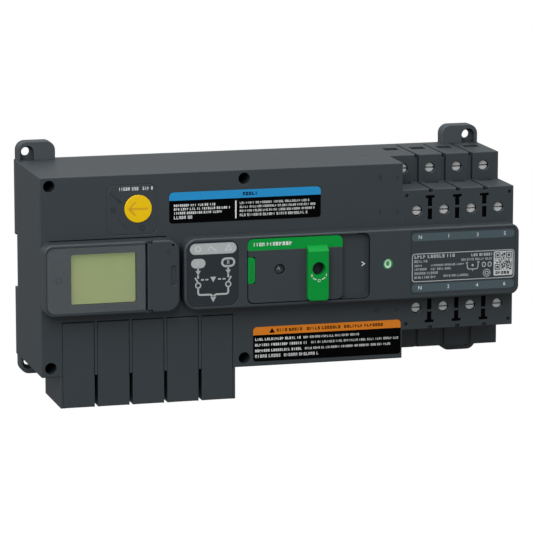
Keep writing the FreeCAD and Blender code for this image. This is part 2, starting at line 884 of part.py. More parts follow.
# Selector
def selector_knob():
    x = left + selector_x
    y0 = front - selector_proud - gap
    y1 = front - selector_proud + arrow_deep
    disc = rod_y(x, selector_z, front - selector_proud, front + selector_skirt, selector_radius)
    disc = soften_front(disc, selector_round)
    spindle = rod_y(x, selector_z, front + selector_skirt, front + selector_skirt + spindle_long,
                    spindle_radius)
    shaft = block(x - arrow_tip + arrow_line, x + arrow_tail, y0, y1,
                  selector_z - arrow_line / 2, selector_z + arrow_line / 2)
    tip = x - arrow_tip
    lean = arrow_line * 1.4
    barbs = [prism_y([(tip, selector_z), (tip + lean, selector_z),
                      (tip + barb_back + lean, selector_z + side * barb_rise),
                      (tip + barb_back, selector_z + side * barb_rise)], y0, y1) for side in (-1, 1)]
    return minus(join([disc, spindle]), [join([shaft] + barbs)])


def selector_switch():
    x = left + selector_x
    y0 = front + selector_skirt
    body = block(x - switch_half_wide, x + switch_half_wide, y0 + wall, y0 + spindle_long + switch_back,
                 selector_z - switch_half_high, selector_z + switch_half_high)
    return minus(body, [rod_y(x, selector_z, y0, y0 + spindle_long + gap, spindle_radius + bearing_gap)])


# Nose cover and its fittings
def slide_span():
    x0 = nose_left + slide_left
    return x0, x0 + slide_width


def recess_limits():
    x0 = nose_left + slide_left
    return x0, x0 + recess_width, -recess_height / 2 + recess_lift, recess_height / 2 + recess_lift


def nose_corners(inset, left_radius=None, right_radius=None):
    """Corner radii of the long nose's outline, moved inwards by inset."""
    a = nose_left_corner - inset if left_radius is None else left_radius
    b = nose_right_corner - inset if right_radius is None else right_radius
    return [a, b, b, a]


def nose_cover():
    shell = rounded_plate(nose_left, right, -nose_half, nose_half, nose, front, nose_corners(0))
    shell = soften_front(shell, front_round)
    x0, x1, z0, z1 = recess_limits()
    room = nose_half - nose_wall
    hollow = [rounded_plate(nose_left + nose_wall, x0 - nose_wall, -room, room, nose + nose_wall, front + gap,
                            nose_corners(nose_wall, right_radius=0)),
              block(x0 - nose_wall - gap, x1 + nose_wall, floor_back, front + gap, -room, room),
              rounded_plate(x1 + nose_wall, right - nose_wall, -room, room, nose + nose_wall, front + gap,
                            nose_corners(nose_wall, left_radius=0))]
    mimic_x = nose_left + mimic_left
    pockets = [rounded_plate(x0, x1, z0, z1, nose - gap, recess_floor, [recess_corner] * 4),
               rounded_plate(mimic_x, mimic_x + mimic_width, -mimic_height / 2, mimic_height / 2,
                             nose - gap, nose + mimic_sink, [mimic_corner] * 4),
               rounded_plate(split + plate_left, right - plate_right,
                             -plate_height / 2 + recess_lift, plate_height / 2 + recess_lift,
                             nose - gap, nose + plate_sink, [plate_corner] * 4),
               rod_y(indicator_x, control_z, nose - gap, nose + nose_wall + gap, indicator_radius),
               rod_y(shaft_x, control_z, recess_floor - gap, floor_back + gap, tool_shaft_radius + gap)]
    tab_z0 = control_z - tab_height / 2
    pockets.append(block(x0, x0 + tab_width + slide_travel + 2 * gap, recess_floor - gap, floor_back + gap,
                         tab_z0 - gap, tab_z0 + tab_height + gap))
    for z in (-foot_z, foot_z):
        pockets.append(block(x0 + foot_left - gap, x0 + foot_left + foot_long + slide_travel + 2 * gap,
                             recess_floor - gap, floor_back + gap, z - foot_wide / 2 - gap,
                             z + foot_wide / 2 + gap))
    return minus(shell, hollow + pockets)


def mimic_panel():
    x0 = nose_left + mimic_left + gap / 2
    half = (mimic_height - gap) / 2
    return rounded_plate(x0, x0 + mimic_width - gap, -half, half,
                         nose + mimic_sink - mimic_thick, nose + mimic_sink, [mimic_corner] * 4)


def indicator_window():
    return rod_y(indicator_x, control_z, nose + nose_wall - lens_thick, nose + nose_wall,
                 indicator_radius)


def rating_plate():
    return rounded_plate(split + plate_left + gap, right - plate_right - gap,
                         -plate_height / 2 + recess_lift + gap, plate_height / 2 + recess_lift - gap,
                         nose + plate_sink - plate_thick, nose + plate_sink, [plate_corner - gap] * 4)


def face_label(x0, width, z_top, height):
    return rounded_plate(x0, x0 + width, z_top - height, z_top,
                         front - label_thick, front, [label_corner] * 4)


def slide_cover():
    x0, x1 = slide_span()
    z0 = -recess_height / 2 + recess_lift + gap
    z1 = recess_height / 2 + recess_lift - 2 * gap
    y0 = slide_face
    plate = rounded_plate(x0 + gap / 2, x1, z0, z1, y0, y0 + slide_thick, [recess_corner] * 4)
    header_room = block(x0 - gap, x1 + gap, y0 - gap, y0 + header_thick, z1 - header_height, z1 + gap)
    tab_z0 = control_z - tab_height / 2
    tab_room = block(x0 - gap, x0 + tab_width + 2 * gap, y0 - gap, y0 + slide_thick + gap,
                     tab_z0 - gap, tab_z0 + tab_height + gap)
    dial = rod_y(x0 + dial_left, control_z, y0 - gap, y0 + slide_thick + gap, dial_radius)
    tool = rod_y(x0 + guide_left + guide_width / 2, control_z, y0 - gap, y0 + slide_thick + gap,
                 tool_hole_radius)
    body = minus(plate, [header_room, tab_room, dial, tool])
    feet = []
    for z in (-foot_z, foot_z):
        x = x0 + foot_left
        feet.append(block(x, x + foot_long, y0 + slide_thick - gap, floor_back + gap + foot_head_thick,
                          z - foot_wide / 2, z + foot_wide / 2))
        feet.append(block(x, x + foot_long, floor_back + gap, floor_back + gap + foot_head_thick,
                          z - foot_head / 2, z + foot_head / 2))
    return join([body] + feet)


def slide_header():
    x0, x1 = slide_span()
    z1 = recess_height / 2 + recess_lift - 2 * gap
    guide_x = x0 + guide_left
    strip = rounded_plate(x0 + gap / 2, x1, header_bottom, z1, slide_face, slide_face + header_thick,
                          [0, 0, recess_corner, recess_corner])
    return minus(strip, [block(guide_x, guide_x + guide_width, nose, slide_face + header_thick,
                               header_bottom - gap, guide_top)])


def dial_window():
    x0 = slide_span()[0]
    return rod_y(x0 + dial_left, control_z, slide_face + slide_thick - dial_lens_thick,
                 slide_face + slide_thick, dial_radius)


def tool_guide():
    x0 = slide_span()[0] + guide_left
    y1 = slide_face
    y0 = y1 - guide_proud
    z0 = -recess_height / 2 + recess_lift + gap + guide_bottom
    side = [(y1, z0), (y1, guide_top), (y0, guide_top - guide_slope), (y0, z0)]
    bar = prism_x(side, x0, x0 + guide_width)
    lower = [e for e in bar.Edges if e.BoundBox.ZMax < z0 + 0.01 and e.BoundBox.YLength > guide_proud / 2]
    bar = bar.makeFillet(guide_corner, lower)
    long_edges = [e for e in bar.Edges
                  if e.BoundBox.YMax < y0 + 0.01 and e.BoundBox.ZLength > guide_top / 2]
    bar = bar.makeFillet(guide_edge, long_edges)
    back = block(x0, x0 + guide_width, y1, y1 + header_thick, header_bottom, guide_top)
    hole = rod_y(x0 + guide_width / 2, control_z, y0 - gap, y1 + slide_thick, tool_hole_radius)
    return minus(join([bar, back]), [hole])


def padlock_tab():
    x0 = slide_span()[0] + gap
    z0 = control_z - tab_height / 2
    tab = rounded_plate(x0, x0 + tab_width, z0, z0 + tab_height, nose, nose + tab_deep,
                        [0, tab_corner, tab_corner, 0])
    shackle = rod_x(nose + tab_deep / 2, control_z, x0 - gap, x0 + tab_width + gap, tab_hole_radius)
    return minus(tab, [shackle])


# Drive train
def operating_shaft():
    body = rod_y(shaft_x, control_z, recess_floor + shaft_sink, front + frame_rear + frame_plate,
                 tool_shaft_radius)
    pinion = gear(rack_teeth, rack_module, shaft_x, control_z, front + rack_face_start,
                  front + rack_face_start + rack_face, 0.0)
    corner = socket_flats / (2 * cos(pi / 6))
    hexagon = [(shaft_x + corner * cos(pi * k / 3), control_z + corner * sin(pi * k / 3)) for k in range(6)]
    socket = prism_y(hexagon, recess_floor, recess_floor + shaft_sink + socket_deep)
    return minus(join([body, pinion]), [socket])


def drive_gear():
    wheel = gear(drive_teeth, drive_module, shaft_x, control_z, front + gear_face_start,
                 front + gear_face_start + gear_face, 0.0)
    return minus(wheel, [rod_y(shaft_x, control_z, front, 0, tool_shaft_radius)])


def motor_pinion():
    wheel = gear(motor_teeth, drive_module, motor_x, control_z, front + gear_face_start - pinion_overlap,
                 front + gear_face_start + gear_face + pinion_overlap, pi / motor_teeth)
    axle = rod_y(motor_x, control_z, front + gear_face_start + gear_face,
                 front + frame_rear + motor_bore, motor_shaft_radius)
    return join([wheel, axle])


def mechanism_frame():
    x0 = motor_x - frame_end
    z0, z1 = -frame_half, frame_half + frame_head
    y0 = front + frame_front
    y1 = front + frame_rear
    front_plate = block(x0, split - wall - frame_clear, y0, y0 + frame_plate, z0, z1)
    rear_plate = block(x0, shaft_x + frame_margin, y1, y1 + frame_plate, z0, z1)
    pillars = [rod_y(x, z, y0 + frame_plate, y1, pillar_radius)
               for x in (x0 + pillar_inset, shaft_x + frame_margin - pillar_inset)
               for z in (z0 + pillar_inset, z1 - pillar_inset)]
    bearing = rod_y(shaft_x, control_z, front, 0, tool_shaft_radius + bearing_gap)
    axle_room = rod_y(motor_x, control_z, y1 - gap, 0, motor_shaft_radius + motor_shaft_room)
    arm_left = indicator_x - arm_lead - rack_travel - frame_clear / 2
    arm_right = indicator_x - arm_lead + arm_width + rack_travel + frame_clear / 2
    arm_room = block(arm_left, arm_right, front, y0 + frame_plate + gap,
                     control_z - frame_clear, frame_half)
    return minus(join([front_plate, rear_plate] + pillars), [bearing, axle_room, arm_room])


def drive_motor():
    y0 = front + frame_rear + frame_plate
    can = rod_y(motor_x, control_z, y0, y0 + motor_long, motor_radius)
    can = can.makeFillet(motor_round, [e for e in can.Edges if e.BoundBox.YMin > y0 + motor_long - 0.01])
    bore = rod_y(motor_x, control_z, y0 - gap, y0 + motor_bore, motor_shaft_radius + bearing_gap)
    return minus(can, [bore])


def rack_teeth_shape():
    pitch = pi * rack_module
    lean = tan(radians(pressure_angle))
    half = pitch / 4 - backlash / 2
    tip_z = rack_z - rack_module
    root_z = rack_z + 1.25 * rack_module
    teeth = []
    for k in range(-3, 4):
        x = shaft_x + k * pitch
        low = half - rack_module * lean
        high = half + 1.25 * rack_module * lean
        teeth.append(prism_y([(x - low, tip_z), (x + low, tip_z), (x + high, root_z + 0.01),
                              (x - high, root_z + 0.01)],
                             front + rack_face_start, front + rack_face_start + rack_face))
    return teeth


def cam_slot():
    rate = radians(contact_angle) / rack_travel
    half_width = ball_radius + ball_gap
    upper, lower = [], []
    steps = 16
    reach = rack_travel + cam_overrun
    for i in range(steps + 1):
        u = -reach + 2 * reach * i / steps
        z = contact_z - crank_radius * sin(rate * u)
        slope = -crank_radius * rate * cos(rate * u)
        size = (1 + slope * slope) ** 0.5
        upper.append((crank_at + u - half_width * slope / size, z + half_width / size))
        lower.append((crank_at + u + half_width * slope / size, z - half_width / size))
    ends = [(crank_at + u, contact_z - crank_radius * sin(rate * u)) for u in (-reach, reach)]
    y0 = contact_y - crank_radius - cam_thick
    y1 = contact_y - crank_radius + cam_thick * 2
    return [prism_y(upper + lower[::-1], y0, y1)] + [rod_y(x, z, y0, y1, half_width) for x, z in ends]


def indicator_slide():
    y0 = front + rack_face_start
    y1 = y0 + rack_face
    bar_low = rack_z + 1.25 * rack_module
    bar_high = bar_low + slide_bar_high
    cam_y0 = contact_y - crank_radius - cam_thick / 2 + cam_lead
    bar = block(shaft_x - slide_bar_left, bar_right, y0, y1, bar_low, bar_high)
    arm = block(indicator_x - arm_lead, indicator_x - arm_lead + arm_width, flag_front + flag_thick, y0,
                control_z, bar_high)
    web = block(crank_at + cam_half_width - cam_web, crank_at + cam_half_width, y1, cam_y0 + cam_thick,
                bar_low, bar_high)
    cam = block(crank_at - cam_half_width, crank_at + cam_half_width, cam_y0, cam_y0 + cam_thick,
                contact_z - cam_half_height, bar_high)
    return minus(join([bar, arm, web, cam] + rack_teeth_shape()), cam_slot())


def indicator_flag():
    return block(indicator_x - flag_half, indicator_x + flag_half, flag_front, flag_front + flag_thick,
                 control_z - flag_high / 2, control_z + flag_high / 2)


def contact_shaft():
    axle = rod_x(contact_y, contact_z, crank_at - axle_lead, right - axle_end, contact_radius)
    hub = rod_x(contact_y, contact_z, crank_at - hub_half, crank_at + hub_half, contact_radius + hub_rise)
    neck = rod_y(crank_at, contact_z, contact_y - crank_radius, contact_y, neck_radius)
    ball = Part.makeSphere(ball_radius, FreeCAD.Vector(crank_at, contact_y - crank_radius, contact_z))
    return join([axle, hub, neck, ball])


def moving_contacts():
    blades = []
    for x in pole_centres:
        ring = rod_x(contact_y, contact_z, x - blade_thick, x + blade_thick, blade_ring)
        arm = block(x - blade_wide / 2, x + blade_wide / 2, contact_y - blade_thick / 2,
                    contact_y + blade_thick / 2, contact_z, contact_z + blade_reach + button_radius)
        pads = rod_y(x, contact_z + blade_reach, contact_y - blade_thick / 2 - button_thick,
                     contact_y + blade_thick / 2 + button_thick, button_radius)
        axle = rod_x(contact_y, contact_z, x - pole_pitch, x + pole_pitch, contact_radius)
        blades.append(minus(join([ring, arm, pads]), [axle]))
    return blades


# Switch block
def chamber_bounds():
    edges = [split] + sorted(pole_boundaries) + [right]
    return [(a + chamber_wall / 2 + (chamber_wall / 2 if a == split else 0),
             b - chamber_wall / 2 - (chamber_wall / 2 if b == right else 0))
            for a, b in zip(edges[:-1], edges[1:])]


def tee_slots(x):
    slots = []
    y0, y1 = front - gap, front + wall + gap
    for z, sign in ((step_top - tee_drop, -1), (step_bottom + tee_drop, 1)):
        low, high = sorted((z, z + sign * tee_bar_high))
        slots.append(block(x - tee_bar / 2, x + tee_bar / 2, y0, y1, low, high))
        middle = z + sign * tee_long / 2
        bridge = sign * tee_bridge / 2
        for ends in ((z, middle - bridge), (middle + bridge, z + sign * tee_long)):
            low, high = sorted(ends)
            slots.append(block(x - tee_stem / 2, x + tee_stem / 2, y0, y1, low, high))
    return slots


def switch_front_housing():
    shell = edged_block(split, right, front, step_front, step_bottom, step_top, switch_edge, ["left"])
    cuts = []
    for a, b in chamber_bounds():
        cuts.append(block(a, b, front + wall, step_front + gap, step_bottom + wall, step_top - wall))
    for x in pole_centres:
        for z in (front_screw_z, load_screw_z):
            cuts.append(rod_y(x, z, front - gap, front + wall + gap, well_radius))
        for z0, z1 in ((step_top - wall - gap, step_top + gap),
                       (step_bottom - gap, step_bottom + wall + gap)):
            cuts.append(block(x - front_entry_wide / 2, x + front_entry_wide / 2,
                              step_front - front_entry_deep, step_front + gap, z0, z1))
    for x in pole_boundaries:
        cuts += tee_slots(x - tee_shift)
        cuts.append(block(x - groove_width / 2, x + groove_width / 2, front - gap, step_front + gap,
                          step_top - wall / 2, step_top + gap))
        for z0, z1 in ((step_top - notch_deep, step_top + gap),
                       (step_bottom - gap, step_bottom + notch_deep)):
            cuts.append(block(x - notch_width / 2, x + notch_width / 2, front - gap, front + notch_deep,
                              z0, z1))
    for x in (split + rivet_inset, right - rivet_inset):
        for z in (step_top - rivet_drop, step_bottom + rivet_drop):
            cuts.append(rod_y(x, z, front - gap, front + wall - 0.6, rivet_radius))
    return minus(shell, cuts)


def switch_rear_housing():
    shell = edged_block(split, right, step_front, shell_back, bottom, top, switch_edge, ["left"])
    cuts = []
    for a, b in chamber_bounds():
        cuts.append(block(a, b, step_front + wall, shell_back + gap, bottom + wall, top - wall))
    for x in pole_centres:
        cuts.append(rod_y(x, rear_screw_z, step_front - gap, step_front + wall + gap, well_radius))
        cuts.append(block(x - rear_entry / 2, x + rear_entry / 2, front + rear_cage_start + 2,
                          front + rear_cage_start + 2 + rear_entry, top - wall - gap, top + gap))
        for z in (front_screw_z, load_screw_z):
            cuts.append(block(x - bar_width / 2 - gap, x + bar_width / 2 + gap, step_front - gap,
                              step_front + wall + gap, z - bar_thick / 2 - gap, z + bar_thick / 2 + gap))
    for x in pole_boundaries:
        half = notch_width / 2
        cuts.append(block(x - groove_width / 2, x + groove_width / 2, step_front - gap, shell_back + gap,
                          top - wall / 2, top + gap))
        cuts.append(block(x - half, x + half, step_front - gap, step_front + notch_deep,
                          top - notch_deep, top + gap))
        cuts.append(block(x - half, x + half, step_front - gap, step_front + strip_deep,
                          step_top, top + gap))
        cuts.append(block(x + half - seam_width, x + half, step_front - gap, step_front + seam_deep,
                          step_top, top + gap))
        cuts.append(block(x - lower_groove_width / 2, x + lower_groove_width / 2, step_front - gap,
                          step_front + wall / 2, bottom - gap, step_bottom))
    cuts.append(rod_x(contact_y, contact_z, split - gap, right - axle_end + axle_end_gap,
                      contact_radius + bearing_gap))
    cuts.append(block(split - gap, right + gap, -rail_deep - trough_wall - gap, 0,
                      rail_bottom - trough_wall - gap, rail_top + trough_wall + gap))
    return minus(shell, cuts)


def terminal_screws(face, z, cage_start):
    return [slotted_screw(x, z, face + head_sink, front + cage_start + screw_bite) for x in pole_centres]


def terminal_cages(z, cage_start, cage_deep, entry_sign):
    cages = []
    for x in pole_centres:
        y0 = front + cage_start
        box = block(x - cage_width / 2, x + cage_width / 2, y0, y0 + cage_deep,
                    z - cage_height / 2, z + cage_height / 2)
        screw_room = rod_y(x, z, y0 - gap, y0 + screw_bite + gap, shank_radius + thread_gap)
        low, high = sorted((z - entry_sign * (cage_height / 2 - cage_wall),
                            z + entry_sign * (cage_height / 2 + gap)))
        mouth = block(x - cage_width / 2 + cage_wall, x + cage_width / 2 - cage_wall,
                      y0 + cage_jaw, y0 + cage_deep - cage_wall, low, high)
        cages.append(minus(box, [screw_room, mouth]))
    return cages


def fixed_face(sign):
    """Y of the fixed button face that the moving button reaches, less the contact gap."""
    reach = blade_reach * sin(radians(contact_angle))
    thick = (blade_thick / 2 + button_thick) * cos(radians(contact_angle))
    lead = button_radius * sin(radians(contact_angle))
    return contact_y + sign * (reach + thick + lead + contact_gap)


def fixed_strip(sign, x, low, high):
    """Upright bar with its contact button; sign is the side of the contact shaft it stands on."""
    face = fixed_face(sign)
    back = face + sign * button_thick
    y0, y1 = sorted((back, back + sign * bar_thick))
    button_y0, button_y1 = sorted((face, back))
    button = rod_y(x, contact_tip_z, button_y0, button_y1, button_radius)
    return join([block(x - bar_width / 2, x + bar_width / 2, y0, y1, low, high), button])


def source_one_contacts():
    cage_end = front + front_cage_start + front_cage_deep
    z0, z1 = front_screw_z - bar_thick / 2, front_screw_z + bar_thick / 2
    lead_end = fixed_face(-1) - button_thick
    strips = []
    for x in pole_centres:
        lead = block(x - bar_width / 2, x + bar_width / 2, cage_end, lead_end, z0, z1)
        strips.append(join([fixed_strip(-1, x, contact_tip_z - riser_drop, z1), lead]))
    return strips


def source_two_contacts():
    cage_low = rear_screw_z - cage_height / 2
    return [fixed_strip(1, x, contact_tip_z - riser_drop, cage_low) for x in pole_centres]


def load_links():
    links = []
    saddle_top = contact_z - blade_ring + saddle_lap
    z0, z1 = load_screw_z - bar_thick / 2, load_screw_z + bar_thick / 2
    for x in pole_centres:
        x0, x1 = x - bar_width / 2, x + bar_width / 2
        foot = block(x0, x1, front + front_cage_start + front_cage_deep, contact_y + bar_thick / 2, z0, z1)
        riser = block(x0, x1, contact_y - bar_thick / 2, contact_y + bar_thick / 2, z0, saddle_top)
        saddle = block(x0, x1, contact_y - saddle_half, contact_y + saddle_half,
                       saddle_top - saddle_thick, saddle_top)
        clear = rod_x(contact_y, contact_z, x0 - gap, x1 + gap, blade_ring + saddle_gap)
        links.append(minus(join([foot, riser, saddle]), [clear]))
    return links


def arc_chutes():
    stacks = []
    low = contact_z + blade_reach + button_radius + chute_lift
    high = low + (chute_plates - 1) * chute_pitch + chute_plate
    y0 = fixed_face(-1) + chute_inset
    y1 = fixed_face(1) - chute_inset
    for x in pole_centres:
        x0, x1 = x - chute_half, x + chute_half
        plates = [block(x0, x1, y0, y1, low + k * chute_pitch, low + k * chute_pitch + chute_plate)
                  for k in range(chute_plates)]
        sides = [block(a, a + chute_side, y0, y1, low, high) for a in (x0 - chute_side, x1)]
        stacks.append(join(plates + sides))
    return stacks


# Boards
def main_board():
    x0 = left + main_board_left
    y0 = front + main_board_depth
    return block(x0, x0 + main_board_width, y0, y0 + main_board_thick,
                 -main_board_height / 2, main_board_height / 2)


def relay_bank():
    y1 = front + main_board_depth
    x0 = left + main_board_left + relay_left
    starts = [x0 + (relay_wide + relay_space) * k for k in range(relay_count)]
    return [block(x, x + relay_wide, y1 - relay_deep, y1, relay_low, relay_low + relay_high) for x in starts]


def transformer():
    y1 = front + main_board_depth
    y0 = y1 - core_deep
    x0 = left + main_board_left + core_left
    x1 = x0 + core_wide
    low, high = core_low + core_window, core_low + core_high - core_window
    core = block(x0, x1, y0, y1, core_low, core_low + core_high)
    windows = [block(a, a + core_window, y0 - gap, y1 + gap, low, high)
               for a in (x0 + core_limb, x1 - core_limb - core_window)]
    coil = block(x0 + core_limb + coil_gap, x1 - core_limb - coil_gap, y0 - coil_proud, y1,
                 low + coil_gap, high - coil_gap)
    return join([minus(core, windows), coil])


os.makedirs("parts", exist_ok=True)
save("rear_base", [rear_base()])
save("rail_clip_left", [rail_clip(-1)])
save("rail_clip_right", [rail_clip(1)])
save("controller_housing", [controller_housing()])
save("cable_shroud", [cable_shroud()])
for number, cover_left in enumerate(cover_lefts, 1):
    save("cable_cover_" + str(number), [cable_cover(cover_left)])
save("cover_hinge_pins", cover_hinge_pins())
save("control_terminal_blocks", control_terminal_blocks())
save("control_terminal_screws", control_terminal_screws())
save("housing_screws", housing_screws())
save("hmi_bezel", [hmi_bezel()])
save("hmi_window", [hmi_window()])
save("lcd_glass", [lcd_glass()])
save("hmi_board", [hmi_board()])
save("settings_door", [settings_door()])
save("door_hinge_pin", [door_hinge_pin()])
for name, key_z in zip(("up_key", "enter_key", "down_key"), key_heights()):
    save(name, [key(key_z)])
save("selector_knob", [selector_knob()])
save("selector_switch", [selector_switch()])
save("nose_cover", [nose_cover()])
save("mimic_panel", [mimic_panel()])
save("indicator_window", [indicator_window()])
save("rating_plate", [rating_plate()])
save("notice_label", [face_label(left + notice_left, notice_width, notice_top, notice_height)])
save("warning_label", [face_label(left + warning_left, warning_width, warning_top, warning_height)])
save("slide_cover", [slide_cover()])
save("slide_header", [slide_header()])
save("dial_window", [dial_window()])
save("tool_guide", [tool_guide()])
save("padlock_tab", [padlock_tab()])
save("operating_shaft", [operating_shaft()])
save("drive_gear", [drive_gear()])
save("motor_pinion", [motor_pinion()])
save("mechanism_frame", [mechanism_frame()])
save("drive_motor", [drive_motor()])
save("indicator_slide", [indicator_slide()])
save("indicator_flag", [indicator_flag()])
save("contact_shaft", [contact_shaft()])
save("moving_contacts", moving_contacts())
save("switch_front_housing", [switch_front_housing()])
save("switch_rear_housing", [switch_rear_housing()])
save("source_one_screws", terminal_screws(front, front_screw_z, front_cage_start))
save("source_two_screws", terminal_screws(step_front, rear_screw_z, rear_cage_start))
save("load_screws", terminal_screws(front, load_screw_z, front_cage_start))
save("source_one_cages", terminal_cages(front_screw_z, front_cage_start, front_cage_deep, 1))
save("source_two_cages", terminal_cages(rear_screw_z, rear_cage_start, rear_cage_deep, 1))
save("load_cages", terminal_cages(load_screw_z, front_cage_start, front_cage_deep, -1))
save("source_one_contacts", source_one_contacts())
save("source_two_contacts", source_two_contacts())
save("load_links", load_links())
save("arc_chutes", arc_chutes())
save("main_board", [main_board()])
save("relay_bank", relay_bank())
save("transformer", [transformer()])
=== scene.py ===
import math
import random
import bmesh
import bpy
from mathutils import Matrix, Vector
from mathutils.geometry import tessellate_polygon


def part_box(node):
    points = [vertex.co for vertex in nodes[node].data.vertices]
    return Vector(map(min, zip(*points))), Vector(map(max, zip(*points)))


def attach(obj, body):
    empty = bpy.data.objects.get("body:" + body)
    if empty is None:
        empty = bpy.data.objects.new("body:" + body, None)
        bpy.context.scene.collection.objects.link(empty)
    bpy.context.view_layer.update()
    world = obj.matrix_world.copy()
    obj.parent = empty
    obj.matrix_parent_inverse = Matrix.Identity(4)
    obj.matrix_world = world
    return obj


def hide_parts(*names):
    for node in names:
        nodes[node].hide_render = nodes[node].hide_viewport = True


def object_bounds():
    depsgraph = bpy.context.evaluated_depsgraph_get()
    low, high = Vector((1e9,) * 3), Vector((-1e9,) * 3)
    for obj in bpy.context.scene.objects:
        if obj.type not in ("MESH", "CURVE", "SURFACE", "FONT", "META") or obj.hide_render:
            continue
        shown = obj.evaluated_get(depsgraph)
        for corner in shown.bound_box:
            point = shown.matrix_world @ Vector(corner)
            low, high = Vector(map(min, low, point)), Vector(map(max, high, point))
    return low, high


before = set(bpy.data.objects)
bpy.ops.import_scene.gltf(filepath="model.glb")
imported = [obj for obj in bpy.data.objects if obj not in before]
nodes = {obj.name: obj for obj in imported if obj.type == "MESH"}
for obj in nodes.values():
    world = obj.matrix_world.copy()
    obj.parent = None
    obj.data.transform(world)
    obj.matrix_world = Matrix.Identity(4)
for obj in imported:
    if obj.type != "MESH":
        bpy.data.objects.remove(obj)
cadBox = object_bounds()
mm = 0.001


def linear(hexColour, gain=1.0):
    channels = [int(hexColour[i:i + 2], 16) / 255 for i in (1, 3, 5)]
    return [gain * (c / 12.92 if c <= 0.04045 else ((c + 0.055) / 1.055) ** 2.4) for c in channels] + [1.0]


def addNode(tree, kind, settings=None, links=None):
    made = tree.nodes.new(kind)
    for key, value in (settings or {}).items():
        if isinstance(key, str) and key not in made.inputs:
            setattr(made, key, value)
        else:
            made.inputs[key].default_value = value
    for key, (source, outlet) in (links or {}).items():
        tree.links.new(source.outputs[outlet], made.inputs[key])
    return made


def newFinish(name):
    finish = bpy.data.materials.new(name)
    finish.use_nodes = True
    finish.node_tree.nodes.clear()
    return finish, finish.node_tree


def closeFinish(tree, settings, links):
    shader = addNode(tree, "ShaderNodeBsdfPrincipled", settings, links)
    addNode(tree, "ShaderNodeOutputMaterial", None, {"Surface": (shader, "BSDF")})


mouldedBase = {"creviceMm": 5.0, "creviceShadeTone": 0.06, "specular": 0.5, "translucence": 0.0}


# Moulded plastic: the tool's spark-eroded or polished skin, a slow cloud of colour from the flow,
# edges that the tool rounds, painted a little paler as a highlight, and narrow gaps painted darker as shade.
# The real grain is about 0.05 mm, too fine to show, so grainMm draws it coarser and the bump keeps it shallow.
def mouldedPlastic(name, look):
    look = {**mouldedBase, **look}
    finish, tree = newFinish(name)
    place = addNode(tree, "ShaderNodeTexCoord")
    grain = addNode(tree, "ShaderNodeTexNoise", {"Scale": 1 / (look["grainMm"] * mm), "Detail": 3.0, "Roughness": 0.6},
                    {"Vector": (place, "Object")})
    cloud = addNode(tree, "ShaderNodeTexNoise", {"Scale": 1 / (look["cloudMm"] * mm), "Detail": 2.0},
                    {"Vector": (place, "Object")})
    rounded = addNode(tree, "ShaderNodeBevel", {"samples": 6, "Radius": look["edgeMm"] * mm})
    flat = addNode(tree, "ShaderNodeNewGeometry")
    turn = addNode(tree, "ShaderNodeVectorMath", {"operation": "DOT_PRODUCT"},
                   {0: (rounded, "Normal"), 1: (flat, "Normal")})
    # painted highlight: the colour turns paler where the bevel bends the normal at an edge
    edgeHighlightMask = addNode(tree, "ShaderNodeMapRange", {"From Min": 0.995, "From Max": 0.8, "To Max": look["edgeHighlight"]},
                     {"Value": (turn, "Value")})
    body = addNode(tree, "ShaderNodeMix", {"data_type": "RGBA", 6: linear(look["colour"], 1 - look["drift"]),
                                           7: linear(look["colour"], 1 + look["drift"])}, {0: (cloud, 0)})
    skin = addNode(tree, "ShaderNodeMix", {"data_type": "RGBA", 7: linear(look["edgeHighlightColour"])},
                   {0: (edgeHighlightMask, 0), 6: (body, 2)})
    # painted shade: occlusion darkens the colour in narrow gaps and corners
    cavity = addNode(tree, "ShaderNodeAmbientOcclusion", {"samples": 6, "Distance": look["creviceMm"] * mm})
    deep = addNode(tree, "ShaderNodeMapRange", {"From Min": 0.08, "From Max": 0.5, "To Min": look["creviceShadeTone"]},
                   {"Value": (cavity, "AO")})
    paintedCreviceShade = addNode(tree, "ShaderNodeMix", {"data_type": "RGBA", "blend_type": "MULTIPLY", 0: 1.0},
                   {6: (skin, 2), 7: (deep, 0)})
    sheen = addNode(tree, "ShaderNodeMapRange", {"From Min": 0.35, "From Max": 0.65,
                                                 "To Min": look["rough"] - 0.05, "To Max": look["rough"] + 0.05},
                    {"Value": (grain, 0)})
    bump = addNode(tree, "ShaderNodeBump", {"Strength": look["bump"], "Distance": look["grainMm"] * mm * 0.12},
                   {"Height": (grain, 0), "Normal": (rounded, "Normal")})
    closeFinish(tree, {"IOR": look["ior"], "Specular IOR Level": look["specular"],
                       "Subsurface Weight": look["translucence"], "Subsurface Scale": 0.6 * mm},
                {"Base Color": (paintedCreviceShade, 2), "Roughness": (sheen, 0), "Normal": (bump, "Normal")})
    return finish
